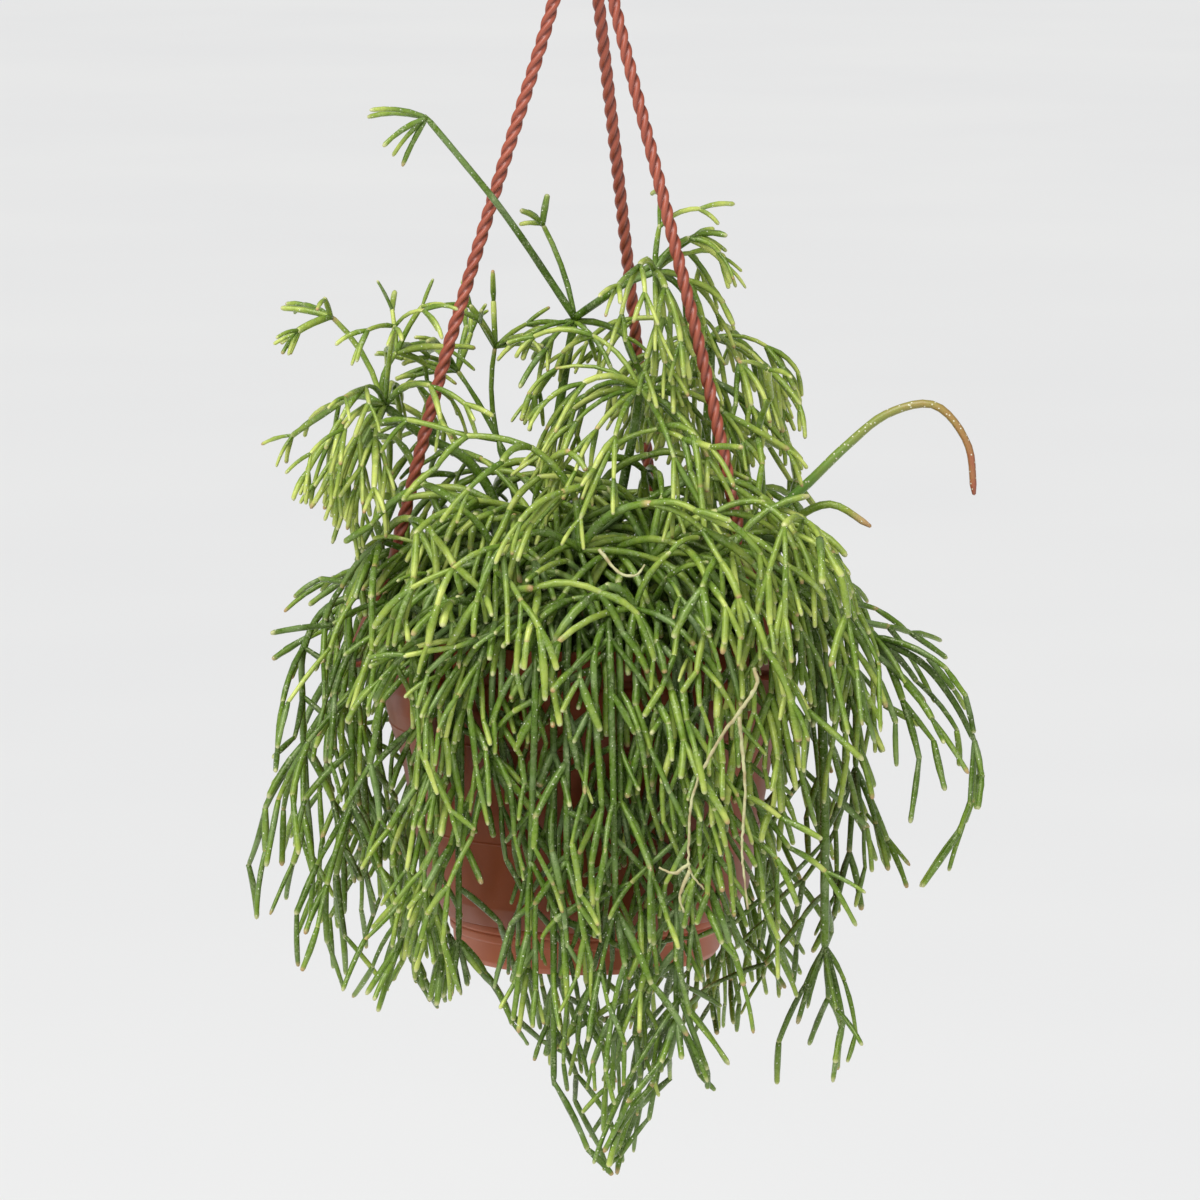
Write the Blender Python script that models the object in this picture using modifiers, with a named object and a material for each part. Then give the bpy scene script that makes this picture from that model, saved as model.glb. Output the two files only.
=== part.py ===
"""Rhipsalis in a terracotta-coloured hanging pot with a clip-on saucer and a three-armed rope hanger.

The origin is the point of the hook that bears on whatever the pot hangs from. +Z is up, +X is to the
right and -Y is the front. Sizes are in millimetres, with heights counted from the top of the pot's rim,
and become metres as each mesh is made.
"""
import math
from collections import namedtuple

import bmesh
import bpy
import numpy as np

MM = 0.001

# Hanging
HANG_DROP = 353.0  # from the hook's bearing point down to the top of the rim
HUB_BASE = 309.0  # underside of the hub, above the rim
HUB_RADIUS = 12.0
HUB_HEIGHT = 11.0
HOOK_RADIUS = 11.5  # centre line of the hook's bend
HOOK_WIRE = 2.5
HOOK_NECK = ((0.0, -4.0), (0.0, 2.0), (4.0, 8.0), (10.5, 15.0))  # off the axis and above the hub
HOOK_ARC = range(0, 181, 20)  # degrees round the bend
HOOK_TIP = ((-11.5, -5.0), (-13.0, -9.0))  # off the axis and above the bend's centre
HOOK_SPAN = 6.0
WIRE_SIDES = 7

# Pot, saucer and soil
RIM_RADIUS = 85.0
RIM_BAND = 12.0
NECK_RADIUS = 81.0
WALL = 2.4
FOOT_RADIUS = 53.0
FOOT_BASE = -134.0
SAUCER_RADIUS = 58.0
SAUCER_TOP = -120.3
SAUCER_BASE = -139.0
SOIL_TOP = -14.0
SOIL_GAP = 0.6
FIT_GAP = 0.3  # clearance between pieces that rest on each other
POT_STEPS = 24  # flat sides round the pot, the saucer and the soil
HUB_STEPS = 14
DRAIN_HOLES = 5
DRAIN_RADIUS = 4.0
DRAIN_RING = 32.0
DRAIN_SIDES = 6

# Hanger arms: the azimuth of each, anticlockwise from +X
ARM_AZIMUTHS = {"left": 193.0, "back": 70.0, "right": -37.0}
ARM_SEAT_DEPTH = 5.0
SEAT_RADIUS = 3.1
SEAT_SIDES = 8
ARM_LINE = (  # radius from the axis and height, down one arm
    (6.0, HUB_BASE + ARM_SEAT_DEPTH),
    (6.6, 296.0),
    (13.0, 260.0),
    (40.0, 175.0),
    (63.0, 100.0),
    (80.5, 34.0),
    (88.0, 16.0),
    (95.5, -2.0),
    (100.0, -11.0),
)
ROPE_RADIUS = 2.7
ROPE_GROOVE = 1.9
ROPE_LAY = 20.4  # length of one full turn of the strands
STRAP_START = 34.0  # height at which the rope turns into a flat strap
STRAP_WIDTH = 8.0
STRAP_THICKNESS = 2.6
STRAP_SPAN = 12.0
ARM_SPAN = 6.0
CLIP_HEIGHT = -14.0  # middle of the tongue that grips under the rim
CLIP_TIP = 82.2
CLIP_ELBOW = 101.0  # how far out the strap turns in
ELBOW_STRETCH = 1.3  # extra thickness there, where the strap's section is cut at a slant
TURN_RINGS = 3  # sections over which the rope flattens into the strap

# Stems
STEM = 2.4  # from a stem's middle to the corners of its section
STEM_SIDES = 3
ROOT_DEPTH = 12.0
HOLE_RADIUS = 3.3
HOLE_SIDES = 5
HOLE_RIM = 0.6  # soil left between the hole of one stem and the next
NODE_GAP = 0.4
SINK = 1.5  # how far a joint's root lies back inside what it grows from
SPAN = 23.0  # longest straight run of a stem
ROOT_SLIMNESS = 0.5  # a stem's thickness at its root, over its full thickness
TIP_SLIMNESS = 0.8  # the same at the tip of a joint
STUB = 5.0  # straight up from the soil before a stem leans
FLAT_ANGLE = math.radians(0.8)  # faces this close to one plane become one after stems are fused
OWN_GAP = 4.6  # between the middles of two stems of one spray, away from where they branch
BRANCH_FREE = 8.0  # the length by a joint's root where it may come closer than that
PLANT_GAP = 0.7  # between a stem and the pot, the saucer or the soil
ARM_ROOM = 4.6  # half the width that stems leave free round a hanger arm
CLIP_ROOM = 6.0
CANE_STEP = 3.0  # the steps at which a cane is tested against the pot
CANE_TRIES = 90
CANE_NUDGE = 0.12  # how much further each new try may move a cane's points
JOINT_TRIES = 14
JOINT_LENGTHS = (0.82, 1.18)  # the shortest and the longest joint of a habit, over its usual length
JOINT_SPREADS = (0.75, 1.2)
TURN_SPREAD = 0.25  # how unevenly a whorl's joints stand round its stem, in radians
TURN_GROWTH = 0.07  # how much more that is at each new try
LENGTH_LOSS = 0.03  # how much shorter a joint is at each new try
FORK_SPREAD = 26.0
FORK_SHRINK = 0.82  # length of each level of joints over the level before
SIDE_SPREAD = 58.0  # angle at which joints leave the side of a hanging cane
SIDE_START = 3  # the first bend of a hanging cane that has side joints
SEED = 46

# How the plant spreads to the left and the right, by height
WIDTH_BY_HEIGHT = (
    (-238, -12, 20),
    (-200, -40, 118),
    (-159, -104, 118),
    (-125, -153, 140),
    (-96, -140, 156),
    (-54, -129, 164),
    (-12, -133, 152),
    (9, -128, 112),
    (30, -100, 108),
    (52, -128, 92),
    (72, -141, 90),
    (93, -137, 90),
    (130, -130, 86),
    (155, -60, 70),
    (215, -98, 60),
)
DEPTH_REACH = 122.0
FRONT_RISE = 0.23  # how much higher the plant ends for each millimetre that it hangs further in front

# How low the plant hangs, from its left to its right
LOWEST_BY_SIDE = (
    (-155, -126),
    (-130, -142),
    (-98, -166),
    (-84, -170),
    (-76, -148),
    (-60, -168),
    (-45, -156),
    (-34, -168),
    (-22, -188),
    (-6, -202),
    (2, -232),
    (16, -238),
    (28, -212),
    (38, -188),
    (52, -204),
    (66, -186),
    (78, -198),
    (112, -196),
    (120, -112),
    (140, -118),
    (156, -100),
    (164, -66),
)

# A whorl: how many joints, their angle off the stem, their length, how strongly they droop,
# how many joints grow on each tip after that, level by level, which way the whorl leans, and how
# many joints grow on the side of the cane at each of its bends
Habit = namedtuple("Habit", "count spread length sag forks lean side", defaults=((0.0, 0.0, 0.0), 0.0))
UMBRELLA = Habit(8, 68, 33, 1.0, (1.2,))
FAN = Habit(6, 40, 31, 0.6, (), (-1.4, -0.1, -1.2))
TUFT = Habit(3, 40, 20, 0.4, (0.4,))
SPRIG = Habit(3, 30, 13, 0.6, ())
CROWN = Habit(3, 72, 26, 0.9, (0.7,))
MOUND = Habit(6, 68, 35, 0.9, (0.8, 0.2))
FALL = Habit(4, 36, 32, 0.55, (0.8,), side=0.5)
BARE = Habit(0, 0, 0, 0, ())

# How a cane rises from the soil where it follows a rule: how far out it stands by its first bend, the
# shares of its height that a mound's cane has reached at its bends, and a hanging cane's own heights
MOUND_SET = 3.0
MOUND_RISES = (0.3, 0.75)
FALL_SET = 2.0
FALL_HEIGHTS = (2.0, -4.0)

Cane = namedtuple("Cane", "points habit")

# Sprays placed one by one. A first cane starts in the soil, and later ones on the end of an earlier one
SOIL = SOIL_TOP
PLACED_SPRAYS = {
    "spray_tall": (
        Cane(((-13, 12, SOIL), (-17, 12, 49), (-11, 8, 91), (-5, 4, 126)), CROWN),
        Cane(((-5, 4, 126), (-19, -2, 148), (-37, -20, 176), (-66, -25, 212)), FAN),
        Cane(((-5, 4, 126), (-11, 12, 148), (-19, 14, 165)), SPRIG),
        Cane(((-5, 4, 126), (22, 0, 145), (46, -6, 162)), SPRIG._replace(lean=(0.9, 0, -0.1))),
        Cane(((-5, 4, 126), (14, -14, 141), (29, -22, 148)), UMBRELLA._replace(count=5, length=26)),
    ),
    "spray_left": (
        Cane(
            ((-30, 0, SOIL), (-40, -2, 55), (-65, -8, 77), (-84, -12, 92)),
            UMBRELLA._replace(lean=(-0.8, 0, 0), length=36),
        ),
        Cane(((-84, -12, 92), (-91, -6, 110), (-106, -10, 129)), TUFT._replace(lean=(-0.9, 0, 0))),
        Cane(((-84, -12, 92), (-84, 2, 103), (-78, 10, 112)), TUFT),
    ),
    "spray_left_back": (
        Cane(((-22, 26, SOIL), (-28, 29, 40), (-37, 34, 71)), BARE),
        Cane(((-37, 34, 71), (-45, 37, 86), (-55, 39, 101)), TUFT._replace(count=4)),
        Cane(((-37, 34, 71), (-52, 34, 74), (-64, 32, 77)), TUFT._replace(lean=(-0.6, 0, -0.4))),
        Cane(((-37, 34, 71), (-40, 34, 90), (-38, 32, 112)), TUFT._replace(lean=(0.3, 0, 0))),
    ),
    "spray_centre": (
        Cane(
            ((10, -8, SOIL), (13, -13, 48), (18, -22, 74), (22, -32, 102)),
            UMBRELLA._replace(count=10, length=41),
        ),
    ),
    "spray_right_back": (
        Cane(
            ((40, 28, SOIL), (47, 30, 42), (50, 30, 78), (52, 30, 116)),
            UMBRELLA._replace(count=9, length=35),
        ),
    ),
    "spray_right_mound": (
        Cane(((46, -30, SOIL), (52, -40, 14), (60, -50, 37)), UMBRELLA._replace(count=8, length=30)),
    ),
    "shoot_long": (
        Cane(
            (
                (60, -4, SOIL), (69, -8, 33), (88, -12, 56), (112, -16, 80), (129, -18, 92),
                (139, -18, 94), (151, -20, 86), (157, -20, 74), (159, -22, 56),
            ),
            BARE,
        ),
    ),
    "shoot_short": (
        Cane(((66, 8, SOIL), (74, 0, 30), (100, -8, 50), (117, -10, 41)), BARE),
    ),
    "spray_right": (
        Cane(((64, -18, SOIL), (76, -22, 9), (96, -24, 9), (120, -30, -3)), FALL._replace(count=5)),
        Cane(((120, -30, -3), (143, -34, -17), (160, -34, -46)), FALL),
    ),
    "spray_right_low": (
        Cane(((50, -14, SOIL), (74, -36, 14), (92, -42, 2), (97, -44, -50), (98, -40, -131)), FALL),
    ),
}

# Sprays that follow a rule: azimuth, radius of the root, how far out the bend reaches, its height and
# how deep the cane hangs before its whorl
Arching = namedtuple("Arching", "name azimuth root reach height drop habit")
ARCHING_SPRAYS = (
    Arching("mound_front_left", -138, 36, 50, 39, None, MOUND),
    Arching("mound_front", -106, 30, 44, 42, None, MOUND),
    Arching("mound_front_right", -66, 38, 50, 37, None, MOUND),
    Arching("mound_left", 172, 52, 60, 31, None, MOUND),
    Arching("mound_rim_front", -90, 58, 72, 21, None, MOUND),
    Arching("mound_right", 12, 44, 62, 31, None, MOUND),
    Arching("mound_back_right", 48, 56, 66, 31, None, MOUND),
    Arching("mound_back", 96, 46, 60, 39, None, MOUND),
    Arching("mound_back_left", 138, 52, 64, 34, None, MOUND),
    Arching("fall_left_back", 163, 64, 112, 14, 40, FALL),
    Arching("fall_left", 184, 66, 118, 12, 52, FALL),
    Arching("fall_left_front", 207, 66, 108, 14, 70, FALL),
    Arching("fall_front_left", 228, 64, 100, 16, 96, FALL),
    Arching("fall_front_mid_left", 247, 66, 98, 14, 44, FALL),
    Arching("fall_front_left_deep", 238, 52, 98, 20, 120, FALL),
    Arching("fall_front_left_high", 236, 72, 94, 9, 22, FALL),
    Arching("fall_front_deep", 262, 56, 96, 18, 176, FALL),
    Arching("fall_front_high", 270, 72, 93, 8, 26, FALL),
    Arching("fall_front_mid", 278, 68, 98, 12, 60, FALL),
    Arching("fall_front_mid_deep", 276, 46, 99, 22, 104, FALL),
    Arching("fall_front_right_deep", 292, 56, 97, 18, 150, FALL),
    Arching("fall_front_right", 306, 68, 100, 14, 52, FALL),
    Arching("fall_front_right_high", 290, 73, 93, 8, 22, FALL),
    Arching("fall_right", 2, 70, 112, 10, 64, FALL),
    Arching("fall_right_back", 27, 68, 106, 14, 46, FALL),
    Arching("fall_back_right", 50, 70, 100, 12, 96, FALL),
    Arching("fall_back_mid", 86, 66, 98, 14, 52, FALL),
    Arching("fall_back_deep", 108, 58, 98, 16, 120, FALL),
    Arching("fall_back_left", 128, 68, 102, 12, 60, FALL),
    Arching("fall_back_low", 148, 62, 104, 14, 84, FALL),
)

# Outside of the pot from the rim down to the foot, and of the saucer
POT_OUTSIDE = (
    (RIM_RADIUS - 0.8, 0.0),
    (RIM_RADIUS, -0.8),
    (RIM_RADIUS, -RIM_BAND),
    (NECK_RADIUS, -RIM_BAND - 0.3),
    (NECK_RADIUS, -15.8),
    (82.2, -16.4),
    (84.2, -26.0),
    (83.7, -34.0),
    (81.9, -42.0),
    (77.0, -57.0),
    (67.4, -111.0),
    (61.8, -120.0),
    (FOOT_RADIUS, -120.0),
    (FOOT_RADIUS, FOOT_BASE),
)
POT_INSIDE = (
    (FOOT_RADIUS - WALL, FOOT_BASE + WALL),
    (FOOT_RADIUS - WALL, -117.2),
    (59.6, -117.2),
    (65.0, -110.6),
    (74.6, -56.6),
    (79.4, -41.6),
    (81.4, -28.0),
    (78.6, -17.0),
    (78.6, -11.6),
    (82.4, -9.0),
    (RIM_RADIUS - 2.0, 0.0),
)
SAUCER_OUTSIDE = (
    (SAUCER_RADIUS - 0.4, SAUCER_TOP),
    (SAUCER_RADIUS, -121.0),
    (SAUCER_RADIUS, -123.4),
    (SAUCER_RADIUS - 1.2, -124.0),
    (SAUCER_RADIUS - 0.6, -124.8),
    (SAUCER_RADIUS - 0.9, -127.6),
    (SAUCER_RADIUS - 2.0, -128.2),
    (SAUCER_RADIUS - 2.6, -136.5),
    (SAUCER_RADIUS - 4.4, SAUCER_BASE),
)
HUB_TOP = HUB_BASE + HUB_HEIGHT
HUB_OUTSIDE = (
    (0.0, HUB_TOP),
    (5.0, HUB_TOP),
    (HUB_RADIUS - 2.5, HUB_TOP - 2.0),
    (HUB_RADIUS, HUB_TOP - 6.0),
    (HUB_RADIUS, HUB_BASE + 1.0),
    (HUB_RADIUS - 1.0, HUB_BASE),
    (0.0, HUB_BASE),
)
SAUCER_INSIDE = (
    (FOOT_RADIUS + 0.6, FOOT_BASE - FIT_GAP),
    (FOOT_RADIUS + 1.2, -129.0),
    (FOOT_RADIUS + 2.2, SAUCER_TOP),
)


def unit(vector):
    """The vector at length one."""
    return vector / np.linalg.norm(vector)


def polar(azimuth, radius, height):
    """A point from its azimuth in degrees, its radius from the axis and its height."""
    angle = math.radians(azimuth)
    return np.array((radius * math.cos(angle), radius * math.sin(angle), height))


def smooth_path(points, step):
    """A Catmull-Rom curve through the points, cut into even spans no longer than the step."""
    points = np.asarray(points, float)
    ends = np.vstack((2 * points[0] - points[1], points, 2 * points[-1] - points[-2]))
    runs = []
    for k in range(len(points) - 1):
        p, q, r, s = ends[k : k + 4]
        t = np.linspace(0, 1, 12, endpoint=False)[:, None]
        curve = (
            2 * q
            + (r - p) * t
            + (2 * p - 5 * q + 4 * r - s) * t**2
            + (3 * q - p - 3 * r + s) * t**3
        )
        runs.append(curve / 2)
    dense = np.vstack((*runs, points[-1:]))
    along = np.concatenate(([0], np.cumsum(np.linalg.norm(np.diff(dense, axis=0), axis=1))))
    even = np.linspace(0, along[-1], math.ceil(along[-1] / step) + 1)
    return np.column_stack([np.interp(even, along, dense[:, axis]) for axis in range(3)])


def segment_gaps(p, q, starts, ends):
    """The least distance from the segment p to q to each of the other segments."""
    own, other, off = q - p, ends - starts, p - starts
    own_square = own @ own
    other_square = (other * other).sum(1)
    mixed, own_off, other_off = other @ own, off @ own, (other * off).sum(1)
    spread = np.maximum(own_square * other_square - mixed**2, 1e-9)
    s = np.clip((mixed * other_off - own_off * other_square) / spread, 0, 1)
    t = np.clip((mixed * s + other_off) / other_square, 0, 1)
    s = np.clip((mixed * t - own_off) / own_square, 0, 1)
    return np.linalg.norm(off + s[:, None] * own - t[:, None] * other, axis=1)


def arm_line(azimuth):
    """The centre line of a hanger arm from its seat in the hub to where its strap turns in."""
    return smooth_path([polar(azimuth, radius, height) for radius, height in ARM_LINE], ARM_SPAN)


class Thicket:
    """Everything placed so far, as straight segments with a radius and the spray that owns them."""

    def __init__(self):
        self.starts = np.empty((0, 3))
        self.ends = np.empty((0, 3))
        self.radii = np.empty(0)
        self.owners = np.empty(0, int)

    def add(self, points, radius, owner):
        """Records a path as segments."""
        spans = len(points) - 1
        self.starts = np.vstack((self.starts, points[:-1]))
        self.ends = np.vstack((self.ends, points[1:]))
        self.radii = np.concatenate((self.radii, np.full(spans, radius)))
        self.owners = np.concatenate((self.owners, np.full(spans, owner)))

    def room(self, points, radius, owner):
        """The least gap between a path and what other sprays own."""
        others = self.owners != owner
        if not others.any():
            return math.inf
        starts, ends, radii = self.starts[others], self.ends[others], self.radii[others]
        gaps = [segment_gaps(p, q, starts, ends) - radii for p, q in zip(points[:-1], points[1:])]
        return float(np.min(gaps)) - radius

    def own_room(self, points, owner):
        """The least distance between a path and its own spray's segments."""
        own = self.owners == owner
        if not own.any():
            return math.inf
        starts, ends = self.starts[own], self.ends[own]
        gaps = [segment_gaps(p, q, starts, ends) for p, q in zip(points[:-1], points[1:])]
        return float(np.min(gaps))


def finely(points):
    """Points along a path, close together, for tests against the pot."""
    return smooth_path(points, CANE_STEP) if len(points) > 2 else np.linspace(points[0], points[-1], 12)


OUTSIDE_HEIGHTS = np.array([height for _, height in POT_OUTSIDE[::-1]])
OUTSIDE_RADII = np.maximum.accumulate([radius for radius, _ in POT_OUTSIDE[::-1]])


def clears_pot(points, radius):
    """True if a path stays out of the pot, the saucer and the soil."""
    margin = radius + PLANT_GAP
    points = finely(points)
    out = np.hypot(points[:, 0], points[:, 1])
    height = points[:, 2]
    wall = np.interp(height, OUTSIDE_HEIGHTS, OUTSIDE_RADII, left=SAUCER_RADIUS)
    wall = np.maximum(wall, SAUCER_RADIUS)
    above = height > margin
    below = height < SAUCER_BASE - margin
    outside = out > wall + margin
    inside = (out < NECK_RADIUS - WALL - margin) & (height > SOIL_TOP + margin)
    return bool((above | below | outside | inside).all())


def within_reach(point):
    """True if a point lies within the plant's spread."""
    heights, left, right = np.array(WIDTH_BY_HEIGHT, float).T
    places, depths = np.array(LOWEST_BY_SIDE, float).T
    x, y, z = point
    across = np.interp(z, heights, left) < x < np.interp(z, heights, right)
    lowest = np.interp(x, places, depths) + FRONT_RISE * max(-y, 0)
    return bool(across and abs(y) < DEPTH_REACH and z > lowest)


def canes_of(spray):
    """The canes of a spray that follows the arching rule."""
    foot = polar(spray.azimuth, spray.root, SOIL_TOP)
    middle = (spray.root + spray.reach) / 2
    if spray.drop is None:
        points = (
            foot,
            polar(spray.azimuth, spray.root + MOUND_SET, spray.height * MOUND_RISES[0]),
            polar(spray.azimuth, middle, spray.height * MOUND_RISES[1]),
            polar(spray.azimuth, spray.reach, spray.height),
        )
    else:
        points = (
            foot,
            polar(spray.azimuth, spray.root + FALL_SET, FALL_HEIGHTS[0]),
            polar(spray.azimuth, middle + FALL_SET, spray.height),
            polar(spray.azimuth, spray.reach - FALL_SET, FALL_HEIGHTS[1]),
            polar(spray.azimuth, spray.reach, -spray.drop),
        )
    return (Cane(points, spray.habit),)


def lay_cane(thicket, rng, cane, owner, rooted):
    """Finds a course for a cane that stays clear of everything else, by nudging its middle points."""
    base = np.asarray(cane.points, float)
    skip = 2 if rooted else 1
    for attempt in range(CANE_TRIES):
        nudge = rng.normal(0, CANE_NUDGE * attempt, base.shape)
        nudge[0] = 0
        nudge[-1] *= 0.5
        course = base + nudge
        path = smooth_path(course, SPAN)
        if rooted:
            stub = path[0] + (0, 0, STUB)
            path = np.vstack((path[0] - (0, 0, ROOT_DEPTH), stub, path[1:]))
        free = clears_pot(path[skip:], STEM)
        if free and thicket.room(path[1 if rooted else 0 :], STEM, owner) > NODE_GAP:
            return path
    return None


def lay_joint(thicket, rng, spray, tip, heading, spread, turn, length, sag, spans):
    """Draws a joint that grows from a tip, droops and stays clear, or None."""
    across = unit(np.cross(heading, (0.31, 0.87, 0.38)))
    beside = np.cross(heading, across)
    for attempt in range(JOINT_TRIES):
        angle = turn + rng.normal(0, TURN_SPREAD + TURN_GROWTH * attempt)
        lean = math.radians(spread) * rng.uniform(*JOINT_SPREADS)
        way = math.cos(lean) * heading + math.sin(lean) * (
            math.cos(angle) * across + math.sin(angle) * beside
        )
        reach = length * rng.uniform(*JOINT_LENGTHS) * (1 - LENGTH_LOSS * attempt)
        points = [tip - heading * SINK]
        for _ in range(spans):
            way = unit(way + np.array((0, 0, -sag / 2)))
            points.append(points[-1] + way * reach / spans)
        points = np.array(points)
        past_root = points.copy()
        free_from = min(BRANCH_FREE / np.linalg.norm(points[1] - points[0]), 0.9)
        past_root[0] = points[0] * (1 - free_from) + points[1] * free_from
        if not within_reach(points[-1]) or not clears_pot(points, STEM):
            continue
        if thicket.room(points, STEM, spray) < NODE_GAP:
            continue
        if thicket.own_room(past_root, spray) < OWN_GAP:
            continue
        return points, way
    return None


def grow_plant():
    """Grows every spray, level by level so that each gets its share of the space: {name: [paths]}."""
    rng = np.random.default_rng(SEED)
    thicket = Thicket()
    for azimuth in ARM_AZIMUTHS.values():
        line = arm_line(azimuth)
        thicket.add(line, ARM_ROOM, -1)
        thicket.add(np.vstack((line[-1], polar(azimuth, CLIP_TIP, CLIP_HEIGHT))), CLIP_ROOM, -1)
    sprays = dict(PLACED_SPRAYS)
    sprays.update({spray.name: canes_of(spray) for spray in ARCHING_SPRAYS})
    paths = {name: [] for name in sprays}
    tips, side = [], []
    for owner, (name, canes) in enumerate(sprays.items()):
        for number, cane in enumerate(canes):
            path = lay_cane(thicket, rng, cane, owner, number == 0)
            if path is None:
                continue
            paths[name].append(path)
            thicket.add(path, STEM, owner)
            if number == 0:
                thicket.add(path[:2], HOLE_RADIUS + HOLE_RIM, owner)
            own_way = unit(path[-1] - path[-2])
            heading = unit(own_way + np.array(cane.habit.lean))
            # A whorl that leans starts inside its cane all the same
            tip = path[-1] + SINK * (heading - own_way)
            tips.append((name, owner, tip, heading, 0, cane.habit))
            for k in range(SIDE_START, len(path) - 1) if cane.habit.side else ():
                side.append((name, owner, path[k], unit(path[k + 1] - path[k]), -1, cane.habit))
    tips += side
    while tips:
        name, owner, tip, heading, level, habit = tips.pop(0)
        if level == 0:
            count, spread, length = habit.count, habit.spread, habit.length
        elif level == -1:
            count = int(habit.side + rng.random())
            spread, length = SIDE_SPREAD, habit.length * FORK_SHRINK
            level = len(habit.forks)
        elif level <= len(habit.forks):
            count = int(habit.forks[level - 1] + rng.random())
            spread, length = FORK_SPREAD, habit.length * FORK_SHRINK**level
        else:
            continue
        first = rng.uniform(0, 2 * math.pi)
        for number in range(count):
            turn = first + 2 * math.pi * number / count
            spans = 2 if level == 0 and spread != SIDE_SPREAD else 1
            drawn = lay_joint(
                thicket, rng, owner, tip, heading, spread, turn, length, habit.sag, spans
            )
            if drawn is None:
                continue
            points, way = drawn
            thicket.add(points, STEM, owner)
            paths[name].append(points)
            tips.append((name, owner, points[-1], way, level + 1, habit))
    return paths


def material(name, colour, roughness):
    """A plain finish."""
    finish = bpy.data.materials.new(name)
    finish.use_nodes = True
    shader = finish.node_tree.nodes["Principled BSDF"]
    shader.inputs["Base Color"].default_value = (*colour, 1)
    shader.inputs["Roughness"].default_value = roughness
    finish.diffuse_color = (*colour, 1)
    return finish


def add_object(name, mesh, finish, home, parent):
    """An object with a finish, in a collection and under the rim's empty."""
    made = bpy.data.objects.new(name, mesh)
    if finish:
        mesh.materials.append(finish)
    home.objects.link(made)
    made.parent = parent
    return made


def hide_cutter(cutter):
    """Marks an object as a tool that cuts others."""
    cutter.hide_render = True
    cutter.display_type = "WIRE"


def turned(name, profile, steps, finish, home, parent):
    """A profile of radii and heights turned about the axis."""
    mesh = bpy.data.meshes.new(name)
    points = [(radius * MM, 0, height * MM) for radius, height in profile]
    mesh.from_pydata(points, [(k, k + 1) for k in range(len(points) - 1)], [])
    made = add_object(name, mesh, finish, home, parent)
    screw = made.modifiers.new("turn", "SCREW")
    screw.steps = steps
    screw.render_steps = steps
    screw.use_merge_vertices = True
    screw.merge_threshold = 1e-5
    return made


def cut_all(made, cutters):
    """Takes a collection of cutters out of an object."""
    cut = made.modifiers.new("cut", "BOOLEAN")
    cut.operation = "DIFFERENCE"
    cut.operand_type = "COLLECTION"
    cut.collection = cutters


def upright_cutter(name, x, y, low, high, radius, sides, home, parent):
    """An upright prism that cuts a round hole."""
    shape = bmesh.new()
    bmesh.ops.create_cone(
        shape,
        cap_ends=True,
        segments=sides,
        radius1=radius * MM,
        radius2=radius * MM,
        depth=(high - low) * MM,
    )
    mesh = bpy.data.meshes.new(name)
    shape.to_mesh(mesh)
    shape.free()
    cutter = add_object(name, mesh, None, home, parent)
    cutter.location = (x * MM, y * MM, (low + high) / 2 * MM)
    hide_cutter(cutter)


def make_pot(home, cutters, parent):
    """The pot: a turned shell with drain holes through its floor."""
    profile = ((0, FOOT_BASE + WALL), *POT_INSIDE, *POT_OUTSIDE, (0, FOOT_BASE))
    finish = material("terracotta_plastic", (0.27, 0.062, 0.036), 0.42)
    pot = turned("pot", profile, POT_STEPS, finish, home, parent)
    for number in range(DRAIN_HOLES):
        x, y, _ = polar(360 * number / DRAIN_HOLES, DRAIN_RING, 0)
        low, high = FOOT_BASE - 2, FOOT_BASE + WALL + 2
        upright_cutter(f"drain_{number}", x, y, low, high, DRAIN_RADIUS, DRAIN_SIDES, cutters, parent)
    cut_all(pot, cutters)


def make_saucer(home, parent):
    """The clip-on saucer, with two beads round its lip."""
    floor = FOOT_BASE - FIT_GAP
    profile = ((0, floor), *SAUCER_INSIDE, *SAUCER_OUTSIDE, (0, SAUCER_BASE))
    finish = material("terracotta_saucer", (0.33, 0.085, 0.05), 0.45)
    turned("saucer", profile, POT_STEPS, finish, home, parent)


def make_soil(roots, home, cutters, parent):
    """The soil: it fills the pot up to the neck, with a plain hole for each stem."""
    wall = [(radius - SOIL_GAP, height) for radius, height in POT_INSIDE[:8]]
    wall[0] = (wall[0][0], wall[0][1] + FIT_GAP)
    for k in (1, 2):
        wall[k] = (wall[k][0], wall[k][1] + SOIL_GAP)
    profile = ((0, wall[0][1]), *wall, (wall[-1][0], SOIL_TOP), (0, SOIL_TOP))
    finish = material("potting_soil", (0.035, 0.022, 0.014), 0.95)
    soil = turned("soil", profile, POT_STEPS, finish, home, parent)
    low, high = SOIL_TOP - ROOT_DEPTH - FIT_GAP, SOIL_TOP + 3
    for number, (x, y) in enumerate(roots):
        upright_cutter(f"hole_{number}", x, y, low, high, HOLE_RADIUS, HOLE_SIDES, cutters, parent)
    cut_all(soil, cutters)


def rope_section(turn, flatness, width, thickness):
    """Six points round an arm: three strands and three grooves, turned, or a flat strap."""
    angles = np.radians((30, 90, 150, 210, 270, 330))
    radii = np.where(np.arange(6) % 2, ROPE_GROOVE, ROPE_RADIUS)
    rope = np.column_stack((np.cos(angles + turn), np.sin(angles + turn))) * radii[:, None]
    strap = np.array(((1, 1), (0, 1), (-1, 1), (-1, -1), (0, -1), (1, -1))) / 2
    return rope * (1 - flatness) + strap * (width, thickness) * flatness


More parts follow.
